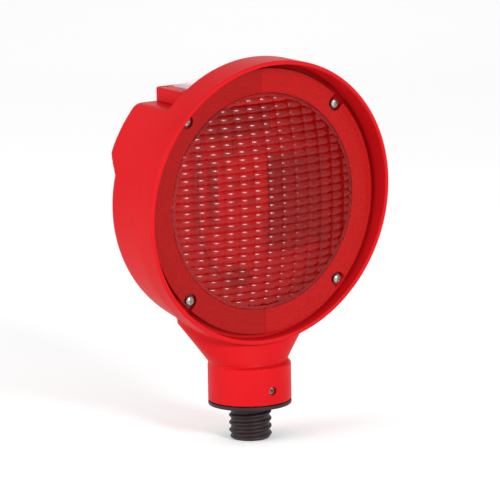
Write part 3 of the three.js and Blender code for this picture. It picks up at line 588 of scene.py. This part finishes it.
def frame_outline(inset):
    """Plan of the solar frame: a rectangle with small corners in front and larger ones behind."""
    x, y0, y1 = SOLAR_HIGH[0] - inset, SOLAR_LOW[1] + inset, SOLAR_HIGH[1] - inset
    corner_front, corner_back = 1.0, 3.5
    points = [
        (0, y0), (x, y0, corner_front), (x, y1, corner_back),
        (-x, y1, corner_back), (-x, y0, corner_front), (0, y0),
    ]
    return np.array(rounded(points, 5)[:-1])


def solar_frame():
    """The frame with its pocket, the groove for its seal, and its screws' wells."""
    low, high = SOLAR_LOW[2], SOLAR_HIGH[2]
    edge = [
        (FRAME_EDGE * (1 - math.sin(a)), high - FRAME_EDGE * (1 - math.cos(a)))
        for a in np.linspace(math.pi / 2, 0, 5)
    ]
    body = extruded("solar_module_frame", frame_outline, [(0.2, low), (0, low + 0.3), *edge])
    floor = high - POCKET_DEPTH
    y0, y1 = SOLAR_LOW[1] + POCKET_MARGIN, SOLAR_HIGH[1] - POCKET_MARGIN
    tools = [block("pocket", (-POCKET_X, y0, floor), (POCKET_X, y1, high + 2))]
    x, outer, inner, end = POCKET_X, GROOVE_OUTSIDE, GROOVE_INSIDE, low + GROOVE_DEPTH
    groove = block("groove", (-x - outer, y0 - outer, low - 1), (x + outer, y1 + outer, end))
    land = block("land", (-x + inner, y0 + inner, low - 2), (x - inner, y1 - inner, low + 2))
    tools.append(cut(groove, land))
    for index, (x, y) in enumerate(SOLAR_SCREWS):
        seat = high - WELL_DEPTH
        tools.append(turned(f"well_{index}", [
            (0, low - 1), (SOLAR_SCREW_HOLE, low - 1), (SOLAR_SCREW_HOLE, seat), (WELL, seat),
            (WELL, high - 0.3), (WELL_MOUTH, high + 0.2), (WELL_MOUTH, high + 1), (0, high + 1),
        ], 32, "Z", (x, y, 0)))
    tools.append(rod("lead_way", LEAD_HOLE, low - 1, floor + 1, "Z", LEAD_PLACE))
    return cut(body, *tools)


def solar_cover():
    """The clear cover, crowned along its length, with softened edges."""
    half, low, top = COVER_HIGH[0], COVER_LOW[2], SOLAR_HIGH[2]
    crown = COVER_HIGH[2] - top
    columns = np.linspace(-half, half, 61)
    arch = crown * (1 - (columns / half) ** 2)
    y0, y1 = COVER_LOW[1], COVER_HIGH[1]
    section = [(y0 + inset, drop) for inset, drop in ((0.5, 0.0), (0.15, 0.15), (0, 0.5))]
    rows = [(y, top - drop) for y, drop in reversed(section)]
    rows += [(y1 - (y - y0), top - drop) for y, drop in section]
    rows += [(y1, low), (y0, low)]
    points = [np.stack([columns, np.full_like(columns, y), z + arch], -1) for y, z in rows]
    count = len(columns)
    faces = grid_faces(len(rows), count, True, False).tolist()
    left = [row * count for row in range(len(rows))]
    faces += [left, [corner + count - 1 for corner in left]]
    return new_object("solar_clear_cover", points, faces)


# ------------------------------------------------------------------ adaptor and switch
THREAD_RADIUS, THREAD_PITCH, THREAD_DEPTH, THREAD_CHAMFER = 14.4, 5.1, 1.4, 2.0
THREAD_FLAT = 1.25  # more than 1 flattens the bottom of the groove
FLANGE, SPIGOT, SPIGOT_TOP = 2.5, 19.7, 24.5
CLAMP_GROOVE, SEAL_GROOVE = 18, 16.8  # radii at the bottom of the spigot's two grooves
CORE, CORE_MOUTH, CORE_TOP = 8.5, 9.3, 18
SWITCH_BARREL, SWITCH_COLLAR, COLLAR_DEPTH = 5.9, 8.5, 2.5
BUTTON_BORE, BUTTON_BORE_FRONT = 4.8, 10
LED_RADIUS, LED_FLANGE = 2.5, 1


def threaded_adaptor():
    """The spigot and flange with the male thread under them, hollow from below."""
    length, segments, row_frame = SEAT_PLANE - ADAPTOR_LOW[2], 96, np.zeros(3)
    z = np.linspace(-length, 1, 150)
    angle = np.arange(segments) * 2 * math.pi / segments
    along, around = np.meshgrid(z, angle, indexing="ij")
    turn = around / (2 * math.pi) - along / THREAD_PITCH
    wave = np.clip(THREAD_FLAT * (0.5 - 0.5 * np.cos(2 * math.pi * turn)), 0, 1)
    radius = THREAD_RADIUS - THREAD_DEPTH * wave
    radius = np.minimum(radius, THREAD_RADIUS - THREAD_CHAMFER + along + length)
    points = np.stack([radius * np.cos(around), radius * np.sin(around), along], -1).reshape(-1, 3)
    faces = grid_faces(len(z), segments, False, True).tolist()
    first, last, top = len(points), len(points) + 1, len(points) - segments
    for i in range(segments):
        following = (i + 1) % segments
        faces.append([first, i, following])
        faces.append([last, top + following, top + i])
    points = np.concatenate([points, [[0, 0, -length], [0, 0, 1]]])
    thread = new_object("thread", points, faces, row_frame)
    body = turned("foot_adaptor", rounded([
        (0, 0), (SOCKET_RADIUS, 0, 0.6), (SOCKET_RADIUS, FLANGE, 0.3), (SPIGOT, FLANGE, 0.2),
        (SPIGOT, 9.1), (CLAMP_GROOVE, 9.9), (CLAMP_GROOVE, 14.7), (SPIGOT, 15.5),
        (SPIGOT, 17.75), (SEAL_GROOVE, 17.75), (SEAL_GROOVE, 21.25), (SPIGOT, 21.25),
        (SPIGOT, SPIGOT_TOP, 1.0), (0, SPIGOT_TOP),
    ], 4), 128, "Z", at=row_frame)
    core = turned("core", [
        (0, -length - 1), (CORE_MOUTH, -length - 1), (CORE_MOUTH, -length), (CORE, -length + 0.8),
        (CORE, CORE_TOP), (0, CORE_TOP),
    ], 64, "Z", at=row_frame)
    return cut(joined(body, thread), core)


def switch_body():
    """The switch's barrel and outer collar, with the bore that the button moves in."""
    front, back = BARREL_LOW[1], BARREL_HIGH[1]
    collar, bottom = back - COLLAR_DEPTH, front + BUTTON_BORE_FRONT
    return turned("push_switch", rounded([
        (0, front), (SWITCH_BARREL, front, 0.5), (SWITCH_BARREL, collar), (SWITCH_COLLAR, collar),
        (SWITCH_COLLAR, back, 0.7), (BUTTON_BORE, back, 0.2), (BUTTON_BORE, bottom), (0, bottom),
    ], 4), 64, "Y", (0, 0, SWITCH_Z))


def switch_button():
    """The button, with a slightly dished end."""
    radius, start, end = (BUTTON_HIGH[0] - BUTTON_LOW[0]) / 2, BUTTON_LOW[1], BUTTON_HIGH[1]
    return turned("push_button", rounded([
        (0, start), (radius, start, 0.2), (radius, end, 0.7), (radius - 1.6, end, 0.3),
        (radius - 2.0, end - 0.25, 0.3), (0, end - 0.35),
    ], 4), 64, "Y", (0, 0, SWITCH_Z))


def led(name, node):
    """A smooth dome-ended lens body with its foot flange."""
    low, high = head_box(node)
    centre, flange = (low + high) / 2, (high[0] - low[0]) / 2
    front, back, ledge = low[1], high[1], high[1] - LED_FLANGE
    profile = [
        (LED_RADIUS * math.sin(a), front + LED_RADIUS * (1 - math.cos(a)))
        for a in np.linspace(0, math.pi / 2, 9)
    ]
    profile += [(LED_RADIUS, ledge), (flange, ledge), (flange, back), (0, back)]
    return turned(name, profile, 32, "Y", (centre[0], 0, centre[2]))


# ------------------------------------------------------------------ materials
def linear(red, green, blue):
    """A colour given as on a screen, 0 to 255, for a shader."""
    parts = [c / 255 for c in (red, green, blue)]
    return (*[c / 12.92 if c <= 0.04045 else ((c + 0.055) / 1.055) ** 2.4 for c in parts], 1.0)


class Shader:
    """A material's node tree, with short calls to add nodes to it."""

    def __init__(self, name):
        self.material = bpy.data.materials.new(name)
        self.material.use_nodes = True
        self.tree = self.material.node_tree
        self.tree.nodes.clear()
        self.output = self.add("OutputMaterial")
        self.place = self.add("TexCoord").outputs["Object"]

    def add(self, kind, inputs=None, **settings):
        made = self.tree.nodes.new("ShaderNode" + kind)
        for key, value in settings.items():
            setattr(made, key, value)
        for key, value in (inputs or {}).items():
            if isinstance(value, bpy.types.NodeSocket):
                self.tree.links.new(value, made.inputs[key])
            else:
                made.inputs[key].default_value = value
        return made

    def maths(self, operation, first, second=0.0):
        return self.add("Math", {0: first, 1: second}, operation=operation).outputs[0]

    def noise(self, scale, detail, roughness=0.5, place=None):
        place = place or self.place
        inputs = {"Vector": place, "Scale": scale, "Detail": detail, "Roughness": roughness}
        return self.add("TexNoise", inputs).outputs["Fac"]

    def cells(self, scale):
        return self.add("TexVoronoi", {"Vector": self.place, "Scale": scale}).outputs["Distance"]

    def spread(self, value, low, high, start=0.0, end=1.0):
        inputs = {"Value": value, "From Min": start, "From Max": end, "To Min": low, "To Max": high}
        return self.add("MapRange", inputs).outputs["Result"]

    def blend(self, share, first, second):
        inputs = {"Factor": share, 6: first, 7: second}
        return self.add("Mix", inputs, data_type="RGBA").outputs[2]

    def axis(self, name):
        return self.add("SeparateXYZ", {"Vector": self.place}).outputs[name]

    def bump(self, height, distance, strength, normal=None):
        inputs = {"Height": height, "Distance": distance, "Strength": strength}
        if normal is not None:
            inputs["Normal"] = normal
        return self.add("Bump", inputs).outputs["Normal"]

    def surface(self, shader):
        self.tree.links.new(shader, self.output.inputs["Surface"])
        return self.material


def moulded(name, colour, deep, roughness, grain=2600, depth=2e-5, gloss=0.3):
    """Moulded plastic: slow drift in its colour, flow marks, fine grain and faint rubbed marks."""
    shader = Shader(name)
    drift = shader.noise(14, 3)
    scuffs = shader.noise(190, 6, 0.7)
    marks = shader.spread(scuffs, 0, 1, 0.60, 0.72)
    tint = shader.blend(shader.spread(drift, 0, 1, 0.3, 0.7), colour, deep)
    skin = shader.noise(grain, 2)
    waves = shader.noise(38, 2)
    rough = shader.spread(drift, roughness - 0.03, roughness + 0.05)
    rough = shader.maths("ADD", rough, shader.maths("MULTIPLY", marks, 0.10))
    normal = shader.bump(skin, depth, 0.6, shader.bump(waves, 1.5e-4, 0.25))
    bsdf = shader.add("BsdfPrincipled", {
        "Base Color": tint, "Roughness": rough, "Normal": normal, "Specular IOR Level": gloss,
    })
    return shader.surface(bsdf.outputs[0])


def dimmed(colour, share):
    return (*[share * c for c in colour[:3]], 1.0)


def metal(name, colour, roughness=0.28):
    """Plated metal with fine turning marks and dull spots."""
    shader = Shader(name)
    stretched = shader.add("Mapping", {"Vector": shader.place, "Scale": (1, 6, 1)}).outputs[0]
    lines = shader.noise(900, 4, 0.6, stretched)
    spots = shader.noise(320, 5, 0.65)
    tint = shader.blend(shader.spread(spots, 0, 1, 0.45, 0.75), colour, dimmed(colour, 0.6))
    bsdf = shader.add("BsdfPrincipled", {
        "Base Color": tint, "Metallic": 1.0,
        "Roughness": shader.spread(spots, roughness - 0.08, roughness + 0.2),
        "Normal": shader.bump(lines, 1e-5, 0.5),
    })
    return shader.surface(bsdf.outputs[0])


def rubber(name, colour):
    shader = Shader(name)
    dust = shader.noise(240, 5, 0.7)
    tint = shader.blend(shader.spread(dust, 0, 1, 0.5, 0.8), colour, linear(70, 66, 64))
    bsdf = shader.add("BsdfPrincipled", {
        "Base Color": tint, "Roughness": shader.spread(dust, 0.7, 0.9), "Specular IOR Level": 0.3,
        "Normal": shader.bump(shader.noise(3200, 2), 3e-5, 0.6),
    })
    return shader.surface(bsdf.outputs[0])


def lens_material():
    """Red acrylic: half see-through and randomly mottled, with painted light and shade in bands
    along its flutes and painted shade in its lenslets' valleys, under a polished face.
    """
    shader = Shader("lens_red_acrylic")
    x, z = shader.axis("X"), shader.axis("Z")
    upright = (x, CELL[0], CELL_EDGE[0], 0.42)  # the last value is where its darkening starts
    level = (z, CELL[1], CELL_EDGE[1] + HEAD[2], 0.3)
    # Painted shade: the lens is painted darker towards the valleys between its lenslets.
    valleys = []
    for place, pitch, edge, low in (upright, level):
        along = shader.maths("DIVIDE", shader.maths("SUBTRACT", place, edge * MM), pitch * MM)
        off = shader.maths("ABSOLUTE", shader.maths("SUBTRACT", shader.maths("FRACT", along), 0.5))
        valleys.append(shader.spread(off, 0, 1, low, 0.5))
    valley_shade = shader.maths("MAXIMUM", *valleys)
    # Painted light and shade: the tint is lighter and darker in bands along the flutes, which the
    # mesh doesn't have; the noise blots are a random mottle.
    flutes = shader.maths("SINE", shader.maths("MULTIPLY", x, 2 * math.pi / (FLUTE * MM)))
    mottle = shader.noise(420, 4, 0.6)
    flute_light_stripes, blots = shader.spread(flutes, 0, 0.3, -1, 1), shader.spread(mottle, 0, 0.7, 0.3, 0.7)
    flute_light_and_mottle = shader.maths("ADD", flute_light_stripes, blots)
    tint = shader.blend(flute_light_and_mottle, linear(112, 8, 10), linear(222, 26, 26))
    tint = shader.blend(shader.maths("MULTIPLY", valley_shade, 0.2), tint, linear(104, 10, 12))
    body = shader.add("BsdfPrincipled", {
        "Base Color": tint, "Roughness": 0.5, "Specular IOR Level": 0.0,
    })
    clear = shader.add("BsdfTransparent", {"Color": linear(252, 44, 38)})
    clearness = shader.spread(mottle, 0.60, 0.90, 0.35, 0.65)
    inside = shader.add("MixShader", {0: clearness, 1: body.outputs[0], 2: clear.outputs[0]})
    polish = shader.add("BsdfGlossy", {"Color": (1, 1, 1, 1), "Roughness": 0.22})
    gloss = 0.024  # a constant share: a Fresnel share whitens the lens from inside
    mix = shader.add("MixShader", {0: gloss, 1: inside.outputs[0], 2: polish.outputs[0]})
    return shader.surface(mix.outputs[0])


def reflex_material(name, bright, dark):
    """A retroreflector: red, with painted glints where small facets are painted a brighter red, and
    a random grain.
    """
    shader = Shader(name)
    cells = shader.cells(900.0)
    grains = shader.noise(700, 3, 0.6)
    # Painted glints: the middles of the small cells are painted the brighter red.
    tint = shader.blend(shader.spread(cells, 0, 1, 0.1, 0.6), bright, dark)
    tint = shader.blend(shader.spread(grains, 0, 0.5, 0.35, 0.7), tint, dark)
    bsdf = shader.add("BsdfPrincipled", {
        "Base Color": tint, "Roughness": 0.28, "Specular IOR Level": 0.1,
        "Normal": shader.bump(cells, 6e-5, 0.35),
    })
    return shader.surface(bsdf.outputs[0])


SOLAR_CELLS, SOLAR_FINGER = 4, 1.6  # number of cells, and pitch of their fingers


def solar_cell_material(box):
    """Dark blue polycrystalline silicon: four cells, each with a busbar and fine silver fingers."""
    left, right = float(box[0][0]) * MM, float(box[1][0]) * MM
    shader = Shader("solar_silicon")
    crystals = shader.cells(260.0)
    tint = shader.blend(crystals, linear(24, 38, 92), linear(12, 18, 48))
    across = shader.maths("SUBTRACT", shader.axis("X"), left)
    across = shader.maths("FRACT", shader.maths("DIVIDE", across, (right - left) / SOLAR_CELLS))
    off = shader.maths("ABSOLUTE", shader.maths("SUBTRACT", across, 0.5))
    gap = shader.maths("GREATER_THAN", off, 0.478)
    bar = shader.maths("LESS_THAN", off, 0.035)
    along = shader.maths("DIVIDE", shader.axis("Y"), SOLAR_FINGER * MM)
    finger = shader.maths("GREATER_THAN", shader.maths("FRACT", along), 0.88)
    silver = shader.maths("MAXIMUM", bar, finger)
    tint = shader.blend(silver, tint, linear(176, 180, 184))
    tint = shader.blend(gap, tint, linear(205, 207, 210))
    bsdf = shader.add("BsdfPrincipled", {
        "Base Color": tint, "Roughness": shader.spread(silver, 0.22, 0.4),
        "Coat Weight": 0.8, "Coat Roughness": 0.05, "Normal": shader.bump(silver, 4e-5, 0.5),
    })
    return shader.surface(bsdf.outputs[0])


def cover_material():
    """Clear polycarbonate, slightly hazed, with a pale pink-white surface share that is painted
    glare.
    """
    shader = Shader("clear_polycarbonate")
    haze_and_glare = shader.noise(60, 5, 0.6)
    # Painted glare: the pale pink-white base colour, and the faint pink of the see-through part,
    # stand in for the cover's reflection.
    surface = shader.add("BsdfPrincipled", {
        "Base Color": linear(250, 226, 230), "Roughness": shader.spread(haze_and_glare, 0.06, 0.16),
        "IOR": 1.58, "Coat Weight": 1.0, "Coat Roughness": 0.04,
        "Normal": shader.bump(shader.noise(1500, 2), 6e-6, 0.3),
    })
    clear = shader.add("BsdfTransparent", {"Color": linear(252, 244, 245)})
    clearness = shader.spread(haze_and_glare, 0.5, 0.38)
    mix = shader.add("MixShader", {0: clearness, 1: surface.outputs[0], 2: clear.outputs[0]})
    return shader.surface(mix.outputs[0])


def board_material(name, mask, track):
    """A printed board: solder mask over faint tracks."""
    shader = Shader(name)
    facing = shader.add("Mapping", {"Vector": shader.place, "Rotation": (math.pi / 2, 0, 0)})
    lanes = shader.add("TexBrick", {
        "Vector": facing.outputs[0], "Color1": mask, "Color2": dimmed(mask, 0.92), "Mortar": track,
        "Scale": 160.0, "Mortar Size": 0.03,
    })
    weave = shader.noise(1600, 3)
    bsdf = shader.add("BsdfPrincipled", {
        "Base Color": lanes.outputs["Color"], "Roughness": shader.spread(weave, 0.3, 0.5),
        "Normal": shader.bump(weave, 2e-5, 0.5),
    })
    return shader.surface(bsdf.outputs[0])


def winding_material():
    """Enamelled copper wire wound on the coil's core, each turn with a painted highlight on its
    crest and painted shade between turns.
    """
    shader = Shader("coil_winding")
    wire = 0.35 * MM
    turns = shader.maths("SINE", shader.maths("MULTIPLY", shader.axis("Y"), 2 * math.pi / wire))
    # Painted light and shade: the tint follows the turns, lighter on each crest and darker between
    # them.
    tint = shader.blend(shader.spread(turns, 0, 1, -1, 1), linear(90, 42, 22), linear(188, 104, 58))
    bsdf = shader.add("BsdfPrincipled", {
        "Base Color": tint, "Metallic": 0.7, "Roughness": 0.35,
        "Normal": shader.bump(turns, 6e-5, 0.8),
    })
    return shader.surface(bsdf.outputs[0])


RED = moulded("red_housing_plastic", linear(196, 22, 28), linear(186, 16, 22), 0.42, gloss=0.06)
BUTTON_RED = moulded("red_button_plastic", linear(206, 24, 28), linear(186, 18, 22), 0.4)
BLACK = moulded("black_nylon", linear(46, 27, 31), linear(32, 19, 22), 0.45, 3000, 4e-5)
HOLDER_BLACK = moulded(
    "black_holder_plastic", linear(26, 24, 25), linear(18, 17, 18), 0.5, 3000, 3e-5,
)
WRAP = moulded("cell_shrink_sleeve", linear(38, 52, 46), linear(24, 34, 30), 0.35)
LED_RED = moulded("led_epoxy_body", linear(206, 60, 58), linear(176, 32, 34), 0.12)
RED_PVC = moulded("red_lead_pvc", linear(176, 24, 24), linear(150, 18, 18), 0.5)
BLACK_PVC = moulded("black_lead_pvc", linear(26, 26, 27), linear(18, 18, 18), 0.5)
STEEL = metal("zinc_plated_steel", linear(172, 166, 162))
NICKEL = metal("nickel_plate", linear(205, 200, 188), 0.32)
BLACK_RUBBER = rubber("black_rubber", linear(26, 26, 26))
WHITE_BOARD = board_material("white_light_board", linear(196, 192, 186), linear(178, 174, 166))
GREEN_BOARD = board_material("green_control_board", linear(24, 84, 50), linear(46, 116, 70))


# ------------------------------------------------------------------ pieces
finished(housing(), "head", "housing", RED)
finished(lens(), "head", "lens", lens_material(), 25, weighted=False)
# The left half gets darker reds than the right: painted shade on the left of the ring, the same red
# moulding lit less.
for side, which, bright, dark in (
    (-1, "left", linear(168, 16, 15), linear(140, 12, 12)),
    (1, "right", linear(184, 18, 18), linear(154, 14, 14)),
):
    finished(
        reflex_half(f"reflex_half_{which}", side), "head", f"reflex_ring_{which}",
        reflex_material(f"reflex_{which}", bright, dark), 60,
    )
for number, (screw_x, screw_z) in enumerate(SCREW_PLACES, 1):
    spot = (screw_x, LENS_SCREW_SEAT, screw_z)
    piece = pan_screw(f"lens_pan_screw_{number}", LENS_SCREW, spot, 0.5 * number)
    finished(piece, "head", f"lens_screw_{number}", STEEL)
for number, (screw_x, screw_y) in enumerate(SOLAR_SCREWS, 1):
    spot = (screw_x, screw_y, SOLAR_SCREW_SEAT)
    piece = pan_screw(f"solar_pan_screw_{number}", SOLAR_SCREW, spot, 0.7 * number, upright=True)
    finished(piece, "head", f"solar_screw_{number}", STEEL)
finished(solar_frame(), "head", "solar_frame", RED)
finished(solar_cover(), "head", "solar_cover", cover_material())
finished(threaded_adaptor(), "base", "threaded_adaptor", BLACK, 40)
finished(clamp_screw(), "clamp", "clamp_screw", STEEL)
finished(switch_body(), "head", "switch_body", BLACK)
finished(switch_button(), "button", "switch_button", BUTTON_RED)
for number in (1, 2, 3, 4):
    led_node = f"led_{number}"
    finished(led(f"led_dome_{number}", led_node), "head", led_node, LED_RED)

CAD_MATERIALS = {  # by the start of a node's name, where the longest one that fits holds
    "solar_panel": solar_cell_material(corners("solar_panel")),
    "lens_gasket": BLACK_RUBBER, "solar_gasket": BLACK_RUBBER, "switch_seal": BLACK_RUBBER,
    "adaptor_o_ring": BLACK_RUBBER, "switch_nut": NICKEL,
    "led_board": WHITE_BOARD, "control_board": GREEN_BOARD,
    "control_chip": HOLDER_BLACK, "control_capacitor": HOLDER_BLACK,
    "control_coil": winding_material(), "battery_holder": HOLDER_BLACK,
    "battery_cell": WRAP, "battery_contact": NICKEL, "battery_link": NICKEL,
    "led_board_screw": STEEL, "battery_holder_screw": STEEL, "control_board_screw": STEEL,
    "solar_lead_positive": RED_PVC, "solar_lead_negative": BLACK_PVC,
    "led_lead_positive": RED_PVC, "led_lead_negative": BLACK_PVC,
    "battery_lead_positive": RED_PVC, "battery_lead_negative": BLACK_PVC,
    "switch_lead_1": RED_PVC, "switch_lead_2": BLACK_PVC,
}
for node_name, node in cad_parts.items():
    names = [key for key in CAD_MATERIALS if node_name.startswith(key)]
    if names and not node.hide_render:
        node.data.materials.clear()
        node.data.materials.append(CAD_MATERIALS[max(names, key=len)])
        node.data.shade_smooth()
        node.data.set_sharp_from_angle(angle=math.radians(40))


# ------------------------------------------------------------------ floor, light and camera
def floor():
    """A wide pale floor just under the thread."""
    shader = Shader("pale_floor")
    speckle = shader.noise(3, 2)
    bsdf = shader.add("BsdfPrincipled", {
        "Base Color": shader.blend(speckle, (0.90, 0.90, 0.90, 1), (0.93, 0.93, 0.93, 1)),
        "Roughness": 0.9, "Specular IOR Level": 0.1,
        "Emission Color": (1, 1, 1, 1), "Emission Strength": 0.12,
    })
    half, level = 9000, ADAPTOR_LOW[2] - 0.2
    places = [(x * half, y * half, level) for x, y in ((-1, -1), (1, -1), (1, 1), (-1, 1))]
    plane = bpy.data.meshes.new("studio_floor")
    plane.from_pydata([tuple((np.array(c) + HEAD) * MM) for c in places], [], [(0, 1, 2, 3)])
    plane.materials.append(shader.surface(bsdf.outputs[0]))
    made = bpy.data.objects.new("studio_floor", plane)
    bpy.context.scene.collection.objects.link(made)


def direction(azimuth, elevation):
    """Towards a viewer at an azimuth from -Y towards +X, and an elevation, in degrees."""
    a, e = math.radians(azimuth), math.radians(elevation)
    return Vector((math.sin(a) * math.cos(e), -math.cos(a) * math.cos(e), math.sin(e)))


def softbox(name, azimuth, elevation, distance, size, radiance, shape="RECTANGLE"):
    """An area light aimed at the lens, given by the brightness of its face."""
    light = bpy.data.lights.new(name, "AREA")
    light.shape = shape
    light.size, light.size_y = size
    fill = math.pi / 4 if shape == "ELLIPSE" else 1
    light.energy = radiance * math.pi * size[0] * size[1] * fill
    made = bpy.data.objects.new(name, light)
    aim = Vector(HEAD * MM)
    made.location = aim + direction(azimuth, elevation) * distance
    made.rotation_euler = direction(azimuth, elevation).to_track_quat("Z", "Y").to_euler()
    made.visible_camera = False
    bpy.context.scene.collection.objects.link(made)


def camera():
    """A long lens from the front left, a little above the lamp, turned slightly about its axis."""
    azimuth, elevation, roll, distance = -34.6, 10.7, math.radians(1), 2.986
    shift_right, shift_up = 0.0088, 0.0322  # of the lens's centre from the middle of the picture
    back = direction(azimuth, elevation)
    right = Vector((math.cos(math.radians(azimuth)), math.sin(math.radians(azimuth)), 0))
    up = back.cross(right)
    image_right = right * math.cos(roll) - up * math.sin(roll)
    image_up = right * math.sin(roll) + up * math.cos(roll)
    aim = Vector(HEAD * MM) - image_right * shift_right - image_up * shift_up
    data = bpy.data.cameras.new("camera")
    data.sensor_width, data.lens = 36, 324
    data.clip_end = 60
    made = bpy.data.objects.new("camera", data)
    turn = Matrix((image_right, image_up, back)).transposed().to_4x4()
    made.matrix_world = Matrix.Translation(aim + back * distance) @ turn
    bpy.context.scene.collection.objects.link(made)
    bpy.context.scene.camera = made


def studio():
    scene = bpy.context.scene
    scene.view_settings.view_transform = "Standard"
    world = bpy.data.worlds.new("studio")
    world.use_nodes = True
    background = world.node_tree.nodes["Background"]
    background.inputs["Color"].default_value = (1, 1, 1, 1)
    background.inputs["Strength"].default_value = 0.70
    scene.world = world
    softbox("key", 0.5, 20, 2.6, (0.62, 0.62), 47, "ELLIPSE")
    softbox("left_fill", -95, 25, 2.6, (1.8, 1.8), 3.8)
    softbox("back_glare", 145, 14, 2.6, (1.2, 0.6), 1.0)


floor()
studio()
camera()
